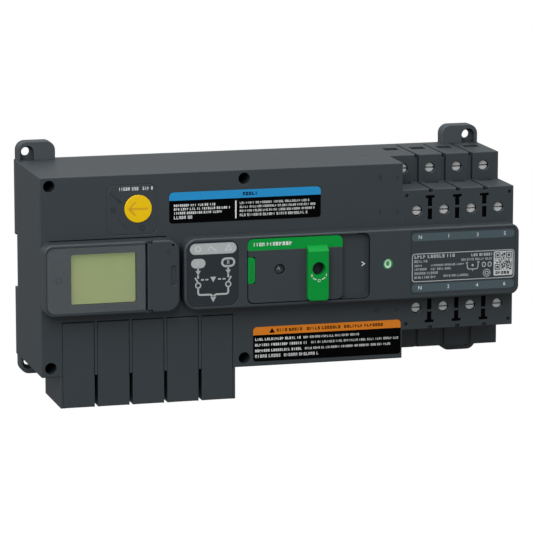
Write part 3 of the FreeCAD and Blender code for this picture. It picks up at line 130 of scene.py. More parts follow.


# Metal sheet and turned screws: draw lines along one axis, mottled by the plating bath, with painted shade darkening a
# driver slot.
# The real lines are some hundredths of a millimetre apart, and are drawn coarser so that they show.
def platedMetal(name, look):
    finish, tree = newFinish(name)
    place = addNode(tree, "ShaderNodeTexCoord")
    along = addNode(tree, "ShaderNodeMapping", {"Scale": look["stretch"]}, {"Vector": (place, "Object")})
    lines = addNode(tree, "ShaderNodeTexNoise", {"Scale": 1 / (look["lineMm"] * mm), "Detail": 4.0},
                    {"Vector": (along, 0)})
    bath = addNode(tree, "ShaderNodeTexNoise", {"Scale": 1 / (look["bathMm"] * mm), "Detail": 2.0},
                   {"Vector": (place, "Object")})
    rounded = addNode(tree, "ShaderNodeBevel", {"samples": 6, "Radius": look["edgeMm"] * mm})
    colour = addNode(tree, "ShaderNodeMix", {"data_type": "RGBA", 6: linear(look["dull"]), 7: linear(look["bright"])},
                     {0: (bath, 0)})
    # painted shade: occlusion darkens the colour inside the slot
    cavity = addNode(tree, "ShaderNodeAmbientOcclusion", {"samples": 6, "Distance": look["slotShadeMm"] * mm})
    deep = addNode(tree, "ShaderNodeMapRange", {"From Min": 0.2, "From Max": 0.6, "To Min": 0.08},
                   {"Value": (cavity, "AO")})
    paintedCreviceShade = addNode(tree, "ShaderNodeMix", {"data_type": "RGBA", "blend_type": "MULTIPLY", 0: 1.0},
                   {6: (colour, 2), 7: (deep, 0)})
    sheen = addNode(tree, "ShaderNodeMapRange", {"From Min": 0.3, "From Max": 0.7,
                                                 "To Min": look["rough"] - 0.08, "To Max": look["rough"] + 0.08},
                    {"Value": (lines, 0)})
    bump = addNode(tree, "ShaderNodeBump", {"Strength": 0.25, "Distance": 0.01 * mm},
                   {"Height": (lines, 0), "Normal": (rounded, "Normal")})
    closeFinish(tree, {"Metallic": look["metallic"]},
                {"Base Color": (paintedCreviceShade, 2), "Roughness": (sheen, 0), "Normal": (bump, "Normal")})
    return finish


# Screen-printed ink or polyester film: even colour with the faint pinholes and orange peel of a dried coat.
def printedInk(name, look):
    finish, tree = newFinish(name)
    place = addNode(tree, "ShaderNodeTexCoord")
    peel = addNode(tree, "ShaderNodeTexNoise", {"Scale": 1 / (look["peelMm"] * mm), "Detail": 2.0},
                   {"Vector": (place, "Object")})
    coat = addNode(tree, "ShaderNodeMix", {"data_type": "RGBA", 6: linear(look["colour"], 0.94),
                                           7: linear(look["colour"], 1.04)}, {0: (peel, 0)})
    sheen = addNode(tree, "ShaderNodeMapRange", {"To Min": look["rough"] - 0.06, "To Max": look["rough"] + 0.06},
                    {"Value": (peel, 0)})
    bump = addNode(tree, "ShaderNodeBump", {"Strength": 0.12, "Distance": 0.01 * mm}, {"Height": (peel, 0)})
    closeFinish(tree, {"IOR": 1.5, "Specular IOR Level": look.get("specular", 0.5),
                       "Emission Color": linear(look["colour"]), "Emission Strength": look.get("glow", 0.0)},
                {"Base Color": (coat, 2), "Roughness": (sheen, 0), "Normal": (bump, "Normal")})
    return finish


housingLook = {"colour": "#2B3338", "edgeHighlightColour": "#566067", "grainMm": 0.42, "cloudMm": 30, "drift": 0.05,
               "edgeMm": 0.35, "edgeHighlight": 0.35, "rough": 0.5, "bump": 0.2, "ior": 1.55}
finishes = {
    # polycarbonate with a fine spark-eroded skin: a soft even charcoal whose highlights spread wide
    "dark_housing": mouldedPlastic("sparkErodedPolycarbonate", housingLook),
    # glass-filled polyamide, coarser and drier than the covers: the rear tray looks flatter and a shade paler
    "base_plastic": mouldedPlastic("glassFilledPolyamide", {**housingLook, "colour": "#3A4146", "grainMm": 0.55,
                                                            "rough": 0.58, "ior": 1.53}),
    # dyed ABS, satin tool finish: a saturated signal green with a clean soft highlight
    "green_plastic": mouldedPlastic("satinGreenAbs", {"colour": "#088F38", "edgeHighlightColour": "#18A648", "grainMm": 0.3,
                                                      "cloudMm": 18, "drift": 0.03, "edgeMm": 0.3, "edgeHighlight": 0.3,
                                                      "rough": 0.42, "bump": 0.15, "ior": 1.54, "specular": 0.1}),
    # white acetal gears: waxy, slightly see-through at the teeth
    "acetal": mouldedPlastic("turnedAcetal", {"colour": "#D9D8D0", "edgeHighlightColour": "#EDECE6", "grainMm": 0.4,
                                              "cloudMm": 9, "drift": 0.03, "edgeMm": 0.15, "edgeHighlight": 0.4, "rough": 0.36,
                                              "bump": 0.15, "ior": 1.48, "translucence": 0.12}),
    # silicone key mat: dull and slightly dusty, edges never shine
    "rubber_key": mouldedPlastic("siliconeRubber", {"colour": "#7B8185", "edgeHighlightColour": "#8C9195", "grainMm": 0.35,
                                                    "cloudMm": 6, "drift": 0.06, "edgeMm": 0.3, "edgeHighlight": 0.2,
                                                    "rough": 0.72, "bump": 0.3, "ior": 1.42}),
    # polyamide terminal block, pale connector green, glossy tool
    "terminal_green": mouldedPlastic("polyamideTerminalGreen", {"colour": "#3F9A5B", "edgeHighlightColour": "#62B87B",
                                                                "grainMm": 0.4, "cloudMm": 10, "drift": 0.05,
                                                                "edgeMm": 0.2, "edgeHighlight": 0.3, "rough": 0.38,
                                                                "bump": 0.15, "ior": 1.53}),
    # wound and potted parts in black nylon: deep black with a little gloss
    "component": mouldedPlastic("blackNylon", {"colour": "#202224", "edgeHighlightColour": "#3A3D40", "grainMm": 0.4,
                                               "cloudMm": 12, "drift": 0.1, "edgeMm": 0.25, "edgeHighlight": 0.3, "rough": 0.44,
                                               "bump": 0.3, "ior": 1.53}),
    # zinc-plated steel, bright passivated: cool grey, its milky bloom scattering part of the light
    "zinc_steel": platedMetal("zincPlatedSteel", {"dull": "#D6D8D9", "bright": "#EEEFEF", "metallic": 0.55,
                                                  "lineMm": 0.3, "slotShadeMm": 2.5, "bathMm": 3, "stretch": (1, 1, 6),
                                                  "edgeMm": 0.12, "rough": 0.4}),
    # rolled copper bar: warm, with the darker breath of handling
    "copper": platedMetal("rolledCopper", {"dull": "#A5643F", "bright": "#D38D63", "metallic": 1.0, "lineMm": 0.4,
                                           "slotShadeMm": 1.0, "bathMm": 5, "stretch": (1, 1, 8), "edgeMm": 0.2,
                                           "rough": 0.34}),
}


# Circuit board: green solder mask over glass weave, drawn coarse, with tracks and pads paler through it.
def solderMask(look):
    finish, tree = newFinish("solderMaskLaminate")
    place = addNode(tree, "ShaderNodeTexCoord")
    weave = addNode(tree, "ShaderNodeTexWave", {"Scale": 1 / (look["weaveMm"] * mm) / 6.28, "Distortion": 0.4,
                                                "bands_direction": "DIAGONAL"}, {"Vector": (place, "Object")})
    tracks = addNode(tree, "ShaderNodeTexBrick", {"Scale": 1 / (look["trackMm"] * mm), "Mortar Size": 0.06,
                                                  "Color1": linear(look["mask"]), "Color2": linear(look["mask"], 0.9),
                                                  "Mortar": linear(look["track"])}, {"Vector": (place, "Object")})
    bump = addNode(tree, "ShaderNodeBump", {"Strength": 0.15, "Distance": 0.02 * mm}, {"Height": (weave, 1)})
    closeFinish(tree, {"IOR": 1.55, "Roughness": 0.3, "Coat Weight": 0.3, "Coat Roughness": 0.15},
                {"Base Color": (tracks, "Color"), "Normal": (bump, "Normal")})
    return finish


# Liquid crystal with its backlight on low, a glow that is also painted light lifting the shade in its recess: olive
# glass, the cell grid just visible and drawn coarser than it is.
def liquidCrystal(look):
    finish, tree = newFinish("liquidCrystalGlass")
    place = addNode(tree, "ShaderNodeTexCoord")
    turned = addNode(tree, "ShaderNodeMapping", {"Rotation": (math.radians(90), 0, 0)}, {"Vector": (place, "Object")})
    cells = addNode(tree, "ShaderNodeTexBrick", {"offset": 0.0, "Scale": 1 / (look["cellMm"] * mm),
                                                 "Brick Width": 1.0, "Row Height": 1.0, "Mortar Size": 0.05,
                                                 "Color1": linear(look["colour"]),
                                                 "Color2": linear(look["colour"], 0.98),
                                                 "Mortar": linear(look["gap"])}, {"Vector": (turned, 0)})
    wash = addNode(tree, "ShaderNodeTexNoise", {"Scale": 1 / (look["washMm"] * mm), "Detail": 1.0},
                   {"Vector": (place, "Object")})
    tone = addNode(tree, "ShaderNodeMix", {"data_type": "RGBA", "blend_type": "MULTIPLY", 0: 0.12},
                   {6: (cells, "Color"), 7: (wash, 1)})
    closeFinish(tree, {"IOR": 1.5, "Roughness": 0.28, "Emission Strength": look["backlight"]},
                {"Base Color": (tone, 2), "Emission Color": (tone, 2)})
    return finish


# Clear polycarbonate pane: thin enough to read as a gloss over what lies behind, with hairline scuffs.
def clearPane(look):
    finish, tree = newFinish("clearPolycarbonate")
    place = addNode(tree, "ShaderNodeTexCoord")
    along = addNode(tree, "ShaderNodeMapping", {"Scale": (1, 1, 9)}, {"Vector": (place, "Object")})
    scuffs = addNode(tree, "ShaderNodeTexNoise", {"Scale": 1 / (look["scuffMm"] * mm), "Detail": 4.0},
                     {"Vector": (along, 0)})
    sheen = addNode(tree, "ShaderNodeMapRange", {"From Min": 0.35, "From Max": 0.75, "To Min": look["rough"],
                                                 "To Max": look["rough"] + 0.12}, {"Value": (scuffs, 0)})
    closeFinish(tree, {"Base Color": linear(look["tint"]), "IOR": 1.585, "Alpha": look["haze"]},
                {"Roughness": (sheen, 0)})
    return finish


# Yellow selector: glossy dyed ABS; the sunk arrow is painted a deeper orange for the light that bounces inside it.
def selectorYellow(look):
    lo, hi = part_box("selector_knob")
    finish = mouldedPlastic("glossYellowAbs", look)
    tree = finish.node_tree
    shader = [n for n in tree.nodes if n.type == "BSDF_PRINCIPLED"][0]
    skin = shader.inputs["Base Color"].links[0].from_node
    place = addNode(tree, "ShaderNodeTexCoord")
    axes = addNode(tree, "ShaderNodeSeparateXYZ", None, {0: (place, "Object")})
    depth = addNode(tree, "ShaderNodeMapRange", {"From Min": lo.y + 0.12 * mm, "From Max": lo.y + 0.45 * mm},
                    {"Value": (axes, "Y")})
    reach = addNode(tree, "ShaderNodeVectorMath", {"operation": "DISTANCE",
                                                   1: ((lo.x + hi.x) / 2, lo.y, (lo.z + hi.z) / 2)},
                    {0: (place, "Object")})
    inside = addNode(tree, "ShaderNodeMath", {"operation": "LESS_THAN", 1: look["sunkReachMm"] * mm},
                     {0: (reach, "Value")})
    sunk = addNode(tree, "ShaderNodeMath", {"operation": "MULTIPLY"}, {0: (depth, 0), 1: (inside, 0)})
    # painted bounce light and shade: the groove's floor turns a deeper orange
    amber = addNode(tree, "ShaderNodeMix", {"data_type": "RGBA", 7: linear(look["paintedBounceColour"])},
                    {0: (sunk, 0), 6: (skin, 2)})
    tree.links.new(amber.outputs[2], shader.inputs["Base Color"])
    return finish


finishes["board"] = solderMask({"weaveMm": 0.5, "trackMm": 3.2, "mask": "#1F5A38", "track": "#3E8A5E"})
finishes["display"] = liquidCrystal({"colour": "#808A61", "gap": "#777F5A", "cellMm": 0.8, "backlight": 0.82,
                                     "washMm": 26})
finishes["clear_lens"] = clearPane({"tint": "#1C2023", "rough": 0.06, "haze": 0.06, "scuffMm": 0.8})
finishes["yellow_plastic"] = selectorYellow({"colour": "#E8BE00", "edgeHighlightColour": "#F6D010", "paintedBounceColour": "#E79000",
                                             "sunkReachMm": 7.4, "grainMm": 0.3, "cloudMm": 12, "drift": 0.02,
                                             "edgeMm": 0.35, "edgeHighlight": 0.5, "rough": 0.34, "bump": 0.1, "ior": 1.54,
                                             "specular": 0.3})
inks = {
    # matt lacquer grounds of the two printed fields, the rating field a shade paler than the diagram's
    "charcoal": printedInk("charcoalLacquer", {"colour": "#23292E", "rough": 0.5, "peelMm": 0.5, "specular": 0.35}),
    "field": printedInk("fieldLacquer", {"colour": "#2C3338", "rough": 0.48, "peelMm": 0.5}),
    # silver-grey symbol ink, slightly flaked, and the flat pad-printed whites and slate
    "silver": printedInk("silverGreyInk", {"colour": "#A9AEAF", "rough": 0.42, "peelMm": 0.35}),
    "white": printedInk("whitePadInk", {"colour": "#D9DCDC", "rough": 0.45, "peelMm": 0.35}),
    "pale": printedInk("paleHaloInk", {"colour": "#C2C6C6", "rough": 0.45, "peelMm": 0.35}),
    "slate": printedInk("slateBandInk", {"colour": "#43535A", "rough": 0.45, "peelMm": 0.6}),
    # polyester label film with its printed colours, a little glossier than the plastic under it
    # the black film is also the painted shade of the slide's gap and of the slots, openings and grooves
    "black": printedInk("blackLabelFilmAndPaintedShade", {"colour": "#020203", "rough": 0.4, "peelMm": 0.8, "specular": 0.05}),
    "blue": printedInk("blueLabelFilm", {"colour": "#178AC6", "rough": 0.4, "peelMm": 0.8}),
    "orange": printedInk("orangeLabelFilm", {"colour": "#DE7E12", "rough": 0.4, "peelMm": 0.8}),
    # green and white paint of the flag and its marks, given a painted glow so that they shine in the shade behind the
    # lens
    "signal": printedInk("flagGreenInkPaintedGlow", {"colour": "#12A84A", "rough": 0.45, "peelMm": 0.5, "glow": 0.45}),
    "beacon": printedInk("flagWhiteInkPaintedGlow", {"colour": "#E6EAE8", "rough": 0.45, "peelMm": 0.5, "glow": 0.45}),
    # dark green print on the tab, a deeper yellow painted over the selector's arrow as the shade of its groove, grey
    # floor under the dial letters
    "moss": printedInk("sunkGreenPrint", {"colour": "#06692A", "rough": 0.5, "peelMm": 0.5}),
    "amber": printedInk("arrowGroovePaintedShade", {"colour": "#D6A200", "rough": 0.45, "peelMm": 0.5}),
    "pewter": printedInk("pewterDialInk", {"colour": "#3F474C", "rough": 0.45, "peelMm": 0.5}),
    # smoked back print of the display window, and a darker colour painted into shallow moulded marks as their shade
    "smoke": printedInk("smokeMaskInk", {"colour": "#52585C", "rough": 0.4, "peelMm": 0.9}),
    "ash": printedInk("reliefPaintedShade", {"colour": "#1F2529", "rough": 0.55, "peelMm": 0.4}),
}
slotInk = {"print_film": "charcoal", "notice_film": "black", "warning_film": "black", "smoked_window": "smoke"}
for name, piece in nodes.items():
    slotName = piece.data.materials[0].name.split(".")[0]
    piece.data.materials[0] = finishes.get(slotName) or inks[slotInk[slotName]]
# nodes whose own finish differs from the rest of their slot; the flag's lens is clearer than the others
nodes["rating_plate"].data.materials[0] = inks["field"]
nodes["door_hinge_pin"].data.materials[0] = finishes["component"]
nodes["indicator_flag"].data.materials[0] = inks["signal"]
nodes["indicator_window"].data.materials[0] = clearPane({"tint": "#F2F5F3", "rough": 0.05, "haze": 0.02,
                                                         "scuffMm": 0.8})
print("finishes on", len(nodes), "nodes")


def roundedBox(left, bottom, right, top, radius, steps=7):
    loop = []
    for x, z, start in ((right - radius, top - radius, 0), (left + radius, top - radius, 90),
                        (left + radius, bottom + radius, 180), (right - radius, bottom + radius, 270)):
        loop += arc(x, z, radius, start, start + 90, steps)
    return loop


def arc(x, z, radius, start, end, steps=12):
    turns = [math.radians(start + (end - start) * i / (steps - 1)) for i in range(steps)]
    return [(x + radius * math.cos(t), z + radius * math.sin(t)) for t in turns]


def disc(x, z, radius):
    return arc(x, z, radius, 0, 352.5, 48)


def softened(points, radius):
    # the corners of a route, each turned on a small radius
    out = [Vector(points[0])]
    for before, here, after in zip(points, points[1:], points[2:]):
        a, p, b = Vector(before), Vector(here), Vector(after)
        start, end = p + (a - p).normalized() * radius, p + (b - p).normalized() * radius
        for i in range(6):
            t = i / 5
            out.append(start * (1 - t) ** 2 + p * 2 * t * (1 - t) + end * t * t)
    return out + [Vector(points[-1])]


def stroke(points, width):
    # a line of even width, as one outline
    points = [Vector(p) for p in points]
    left, right = [], []
    for i, p in enumerate(points):
        before = (p - points[i - 1]).normalized() if i else (points[1] - p).normalized()
        after = (points[i + 1] - p).normalized() if i + 1 < len(points) else before
        way = (before + after).normalized()
        side = Vector((-way.y, way.x)) * width / 2 / max(0.4, way.dot(before))
        left.append(tuple(p + side))
        right.append(tuple(p - side))
    return left + right[::-1]


def greekLetter(kind, x, z, width, height, s):
    # six plain letter-like strokes that spell nothing
    w, h, m = width, height, height / 2
    outlines = [
        [[(0, 0), (w, 0), (w, h), (0, h)], [(s, s), (w - s, s), (w - s, h - s), (s, h - s)]],
        [[(0, 0), (s, 0), (s, h - s), (w - s, h - s), (w - s, 0), (w, 0), (w, h), (0, h)]],
        [[(0, 0), (w, 0), (w, s), (s, s), (s, h), (0, h)]],
        [[(m * 0.3, 0), (m * 0.3 + s, 0), (m * 0.3 + s, h), (m * 0.3, h)]],
        [[(0, 0), (s, 0), (s, m), (w, m), (w, m + s), (s, m + s), (s, h), (0, h)]],
        [[(0, 0), (w, 0), (w, m + s / 2), (s, m + s / 2), (s, h - s), (w, h - s), (w, h), (0, h),
          (0, m - s / 2), (w - s, m - s / 2), (w - s, s), (0, s)]],
    ]
    return [[(x + px, z + pz) for px, pz in loop] for loop in outlines[kind]]


def greekRow(seed, left, right, middle, height, weight=0.2, wide=0.6):
    dice = random.Random(seed)
    x, letters, word = left, [], dice.randint(3, 8)
    while x + wide * height <= right:
        letters.append(greekLetter(dice.choice((0, 0, 1, 2, 3, 4, 5)), x, middle - height / 2,
                                   wide * height, height, weight * height))
        x += (wide + 0.24) * height
        word -= 1
        if word == 0:
            word = dice.randint(2, 9)
            x += 0.45 * height
    return letters


def lettering(build, text, x, z, capHeight, front, depth, bold=0.0, slant=0.0):
    # the built-in typeface has capitals 0.7 of its size
    curve = bpy.data.curves.new("letters", "FONT")
    curve.body, curve.size = text, capHeight / 0.7
    curve.align_x, curve.align_y = "CENTER", "CENTER"
    curve.offset, curve.shear, curve.extrude = bold, slant, depth / 2
    holder = bpy.data.objects.new("letters", curve)
    made = bpy.data.meshes.new_from_object(holder)
    made.transform(Matrix.Translation((x, front + depth / 2, z)) @ Matrix.Rotation(math.radians(90), 4, "X"))
    build.from_mesh(made)
    bpy.data.objects.remove(holder)
    bpy.data.curves.remove(curve)
    bpy.data.meshes.remove(made)


def placePiece(name, build, finish, body):
    # built in mm, kept in metres
    bmesh.ops.scale(build, vec=(mm, mm, mm), verts=build.verts)
    mesh = bpy.data.meshes.new(name)
    build.to_mesh(mesh)
    build.free()
    piece = bpy.data.objects.new(name, mesh)
    bpy.context.scene.collection.objects.link(piece)
    mesh.materials.append(finish)
    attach(piece, body)
    return piece


def paintedShadeFloor(name, finish, cards):
    # flat cards of painted shade lying in the openings of the top faces: (left, right, front, back, height) in mm
    build = bmesh.new()
    for left, right, front, back, height in cards:
        place = Matrix.Translation(((left + right) / 2, (front + back) / 2, height))
        bmesh.ops.create_cube(build, size=1.0, matrix=place @ Matrix.Diagonal((right - left, back - front, 0.05, 1)))
    return placePiece(name, build, finish, "case")


def printOn(name, face, coat, finish, body, shapes=(), words=(), origin=(0, 0)):
    # shapes and words in mm, x right and z up from origin, laid on the plane y = face, coat thick
    build = bmesh.new()
    front = face - coat
    for shape in shapes:
        loops = [[Vector((x + origin[0], z + origin[1], 0)) for x, z in loop] for loop in shape]
        flat = [p for loop in loops for p in loop]
        near = [build.verts.new((p.x, front, p.y)) for p in flat]
        far = [build.verts.new((p.x, face, p.y)) for p in flat]
        for a, b, c in tessellate_polygon(loops):
            build.faces.new((near[a], near[b], near[c]))
            build.faces.new((far[c], far[b], far[a]))
        first = 0
        for loop in loops:
            for i in range(len(loop)):
                j = (i + 1) % len(loop)
                build.faces.new((near[first + i], near[first + j], far[first + j], far[first + i]))
            first += len(loop)
    for text, x, z, capHeight, bold, slant in words:
        lettering(build, text, x + origin[0], z + origin[1], capHeight, front, coat, bold, slant)
    bmesh.ops.remove_doubles(build, verts=build.verts, dist=1e-5)
    bmesh.ops.recalc_face_normals(build, faces=build.faces)
    return placePiece(name, build, finish, body)


def panelOf(node):
    # centre x, centre z and front face y of a node, in mm, with its half width and half height
    lo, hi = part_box(node)
    return ((lo.x + hi.x) / 2 / mm, (lo.z + hi.z) / 2 / mm, lo.y / mm,
            (hi.x - lo.x) / 2 / mm, (hi.z - lo.z) / 2 / mm)


ink = 0.03  # a printed coat, mm

# Display: a printed mask with a real opening, and a clear pane over it.
displayLook = {"opening": (-14.9, -15.4, 26.1, 16.0), "openingRadius": 1.6, "maskThick": 0.7, "corner": 4.5,
               "paneThick": 0.1, "hingeLap": 1.75, "sensor": (-22.7, 0.3, 2.0), "sensorLine": 0.25}
wx, wz, wy, wHalf, wHigh = panelOf("hmi_window")
# the film runs on over the hinge side of the bezel, square at those corners
hingeEdge, paneThick, maskThick = wHalf + displayLook["hingeLap"], displayLook["paneThick"], displayLook["maskThick"]
corner = displayLook["corner"]
outline = [(hingeEdge, -wHigh), (hingeEdge, wHigh)] + arc(corner - wHalf, wHigh - corner, corner, 90, 180) \
    + arc(corner - wHalf, corner - wHigh, corner, 180, 270)
hole = roundedBox(*displayLook["opening"], displayLook["openingRadius"])
windowMask = printOn("window_mask", wy + paneThick + maskThick, maskThick, inks["smoke"], "case",
                     [[outline, hole]], origin=(wx, wz))
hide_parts("hmi_window")
printOn("window_pane", wy + paneThick, paneThick, finishes["clear_lens"], "case",
        [[outline]], origin=(wx, wz))
sx, sz, sr = displayLook["sensor"]
printOn("sensor_ring", wy, ink, inks["ash"], "case",
        [[disc(sx, sz, sr), disc(sx, sz, sr - displayLook["sensorLine"])]], origin=(wx, wz))
print("display window made")

# Mimic diagram: two sources, two switches and the load.
mimicLook = {"line": 1.15, "ring": (2.0, 1.15), "leftX": -9.3, "rightX": 9.9, "midX": 0.3}
mx, mz, my = panelOf("mimic_panel")[:3]
lx, rx, cx = mimicLook["leftX"], mimicLook["rightX"], mimicLook["midX"]
bar = mimicLook["line"]
silverShapes = [[roundedBox(-14.5, 12.4, 15.3, 19.3, 3.44)], [roundedBox(-13.7, 3.9, -4.6, 9.8, 2.94)],
                [roundedBox(5.4, 3.8, 14.4, 9.9, 3.04), roundedBox(6.7, 5.1, 13.1, 8.6, 1.74)]]
for x, tip in ((lx, -1.0), (rx, 1.0)):
    silverShapes.append([stroke([(x, 4.2), (x, 2.1)], bar)])
    silverShapes.append([[(x - 1.7, 2.25), (x + 1.7, 2.25), (x, -0.6)]])
    silverShapes.append([stroke([(x, 0.2), (x, -2.6)], bar)])
    silverShapes.append([stroke([(x + 1.95 * tip, -1.9), (x + 0.1 * tip, -5.05)], bar * 0.85)])
    silverShapes.append([disc(x, -6.9, mimicLook["ring"][0]), disc(x, -6.9, mimicLook["ring"][1])])
for dash in (-7.5, -4.7, 3.4, 6.3):
    silverShapes.append([stroke([(dash, -3.45), (dash + 1.9, -3.45)], 0.95)])
silverShapes += [[[(cx - 1.9, -1.85), (cx + 1.9, -1.85), (cx, -5.3)]],
                 [[(cx - 1.9, -14.4), (cx + 1.9, -14.4), (cx, -17.8)]],
                 [stroke(softened([(lx, -8.8), (lx, -12.95), (cx - 0.9, -12.95), (cx, -14.6)], 1.7), bar)],
                 [stroke(softened([(rx, -8.8), (rx, -12.95), (cx + 0.9, -12.95), (cx, -14.6)], 1.7), bar)]]
printOn("mimic_diagram", my, ink, inks["silver"], "case", silverShapes, origin=(mx, mz))
paleShapes = [[disc(lx, 15.8, 2.0), disc(lx, 15.8, 1.25)],
              [stroke([(-2.9, 14.7), (-1.3, 17.3), (0.6, 15.6), (2.6, 14.5)], 0.7)],
              [[(10.2, 18.7), (7.6, 14.2), (12.7, 14.2)], [(10.2, 17.2), (8.9, 14.95), (11.4, 14.95)]]]
printOn("mimic_icons", my, ink * 2, inks["pale"], "case", paleShapes,
        [("I", lx - 0.4, 6.85, 2.4, 0.04, 0)], origin=(mx, mz))
printOn("mimic_second_source", my, ink, inks["silver"], "case", (),
        [("II", rx, 6.85, 2.5, 0.05, 0)], origin=(mx, mz))
print("mimic diagram printed")

# Mode slide: lettering bar on the green header, and the three positions round the tool hole.
slideLook = {"letterHigh": 2.15, "lettersLift": 0.15, "markHigh": 1.7, "arcRadius": 6.9, "arcLine": 0.55,
             "hubRise": 0.8, "guideCoat": 0.01, "travel": 12.0, "dialRadius": 3.1, "dialLetter": 2.6}
hx, hz, hy, hHalf = panelOf("slide_header")[:4]
letterHigh, lift = slideLook["letterHigh"], slideLook["lettersLift"]
printOn("header_lettering", hy, ink, inks["white"], "mode_slide",
        greekRow(3, -hHalf + 3.5, -hHalf + 17.5, lift, letterHigh, 0.24, 0.66)
        + greekRow(5, -hHalf + 17.9, -hHalf + 29.9, lift, letterHigh * 1.08, 0.32, 0.7), origin=(hx, hz))
gx, _, gy = panelOf("tool_guide")[:3]
ringArc, arcLine, markHigh = slideLook["arcRadius"], slideLook["arcLine"], slideLook["markHigh"]
# the guide is the foremost face of the switch, so its marks are the thinnest coat
printOn("guide_marks", gy, slideLook["guideCoat"], inks["white"], "mode_slide",
        [[stroke(arc(0, 0, ringArc, 236, 256, 8), arcLine)], [stroke(arc(0, 0, ringArc, 286, 306, 8), arcLine)]],
        [("O", 0.1, -7.5, markHigh, 0.03, 0), ("II", -4.6, -4.2, markHigh, 0.03, 0),
         ("I", 4.7, -4.2, markHigh, 0.06, 0)], origin=(gx, slideLook["hubRise"]))
recessLook = {"deep": 3.5, "seam": 0.5, "seamCoat": 0.02, "corner": 4.0, "span": (-24.6, 54.2),
              "rise": (-20.05, 21.05), "openLeft": 7.5, "openTop": 8.0}
ny = panelOf("nose_cover")[2]
dx, dz = panelOf("dial_window")[:2]
recessFloor = ny + recessLook["deep"]
dials = (("A", 0.0), ("M", slideLook["travel"]))
printOn("mode_dials", recessFloor, ink, inks["pewter"], "case",
        [[disc(shift, 0, slideLook["dialRadius"])] for _, shift in dials], origin=(dx, dz))
for letter, shift in dials:
    printOn("mode_letter_" + letter, recessFloor, ink * 2, inks["white"], "case", (),
            [(letter, shift, 0, slideLook["dialLetter"], 0.03, 0)], origin=(dx, dz))
# the working gap round the slide, too narrow to show by its own shade, so its shadow is painted on as a dark line
seamLeft, seamRight = recessLook["span"]
seamLow, seamHigh = recessLook["rise"]
seamRoute = softened([(seamLeft, seamHigh - recessLook["openLeft"]), (seamLeft, seamLow), (seamRight, seamLow),
                      (seamRight, seamHigh), (seamRight - recessLook["openTop"], seamHigh)], recessLook["corner"])
printOn("recess_gap_painted_shadow", ny, recessLook["seamCoat"], inks["black"], "case",
        [[stroke(seamRoute, recessLook["seam"])]])
tx, tz, ty = panelOf("padlock_tab")[:3]
# the pull mark reads upwards
pull = [[[(-z, x) for x, z in loop] for loop in letter] for letter in greekRow(19, -6.6, 6.4, 0, 1.7)]
printOn("pull_mark", ty, ink, inks["moss"], "padlock_tab", pull, origin=(tx, tz))
print("mode slide printed")

# Position flag: O at rest, I and II either side of it, and the pointer beside the window.
flagLook = {"throw": 7.07, "high": 4.0, "lead": 1.4, "drop": 0.9, "outer": (2.2, 2.7), "inner": (1.2, 1.65)}
fx, fz, fy = panelOf("indicator_flag")[:3]
throw, high = flagLook["throw"], flagLook["high"]
ring = [[(x * flagLook[side][0], z * flagLook[side][1]) for x, z in disc(0, 0, 1)] for side in ("outer", "inner")]
printOn("flag_marks", fy, ink, inks["beacon"], "indicator_slide", [ring],
        [("II", -throw, 0, high, 0.08, 0), ("I", throw, 0, high, 0.1, 0)],
        origin=(fx + flagLook["lead"], fz - flagLook["drop"]))
printOn("window_pointer", ny, ink, inks["white"], "case",
        [[stroke([(49.0, 3.0), (51.1, 1.75), (49.0, 0.5)], 0.5)]])
print("position flag printed")

# Rating field: terminal numbers on slate bands, a ruled box of small print that spells nothing, a plain code block.
ratingLook = {"numberHigh": 2.35, "modules": 21, "seed": 11, "codeCorner": (20.9, -7.0), "codeSide": 11.2}
px, pz, py = panelOf("rating_plate")[:3]
printOn("number_bands", py, ink, inks["slate"], "case",
        [[roundedBox(-34.0, 13.8, 33.9, 18.7, 2.4)], [roundedBox(-33.9, -18.7, 33.9, -13.5, 2.5)]], origin=(px, pz))
numbers = [(mark, x, z, ratingLook["numberHigh"], 0.0, 0) for z, marks in ((16.2, "N135"), (-16.1, "N246"))
           for mark, x in zip(marks, (-28.5, -9.8, 9.3, 27.4))]
printOn("terminal_numbers", py, ink * 2, inks["white"], "case", (), numbers, origin=(px, pz))
ruled = [[roundedBox(-33.85, -12.3, 33.95, 5.9, 2.0), roundedBox(-33.35, -11.8, 33.45, 5.4, 1.6)]]
ruled += greekRow(21, -32.2, -4.5, 3.75, 2.1, 0.27, 0.68)
for seed, left, right, middle, high in ((22, -32.2, -23.3, 0.8, 1.6), (23, -32.2, -27.0, -1.9, 1.2),
                                        (24, -32.2, -24.3, -4.2, 1.4), (25, -32.2, -15.3, -6.8, 1.5),
                                        (26, -32.2, -18.0, -9.4, 1.5), (27, -21.3, 0.9, -2.0, 1.25),
                                        (28, -21.3, -7.8, -4.4, 1.35), (29, -13.0, 4.0, -9.1, 1.4),
                                        (30, -1.2, 19.3, 0.65, 1.45)):
    ruled += greekRow(seed, left, right, middle, high)
ruled += greekRow(31, 5.3, 19.3, 3.4, 1.8, 0.27)
ruled += [[stroke(softened([(2.5, -1.5), (2.9, -5.6), (9.6, -5.6), (10.0, -1.5)], 1.2), 0.55)],
          [disc(6.2, -3.2, 0.75)], [disc(2.5, -1.6, 0.7)], [disc(10.0, -1.4, 0.7)],
          [stroke([(6.2, -5.8), (6.2, -6.9)], 0.5)], [disc(15.6, -8.5, 2.5), disc(15.6, -8.5, 2.05)],
          [disc(15.6, -8.5, 1.35), disc(15.6, -8.5, 0.8)],
          [roundedBox(12.4, -4.7, 15.0, -1.4, 1.2), roundedBox(12.95, -4.15, 14.45, -1.95, 0.7)],
          [roundedBox(16.2, -4.7, 18.8, -1.4, 1.2), roundedBox(16.75, -4.15, 18.25, -1.95, 0.7)]]
printOn("rating_small_print", py, ink, inks["silver"], "case", ruled, origin=(px, pz))
codeLeft, codeBottom = ratingLook["codeCorner"]
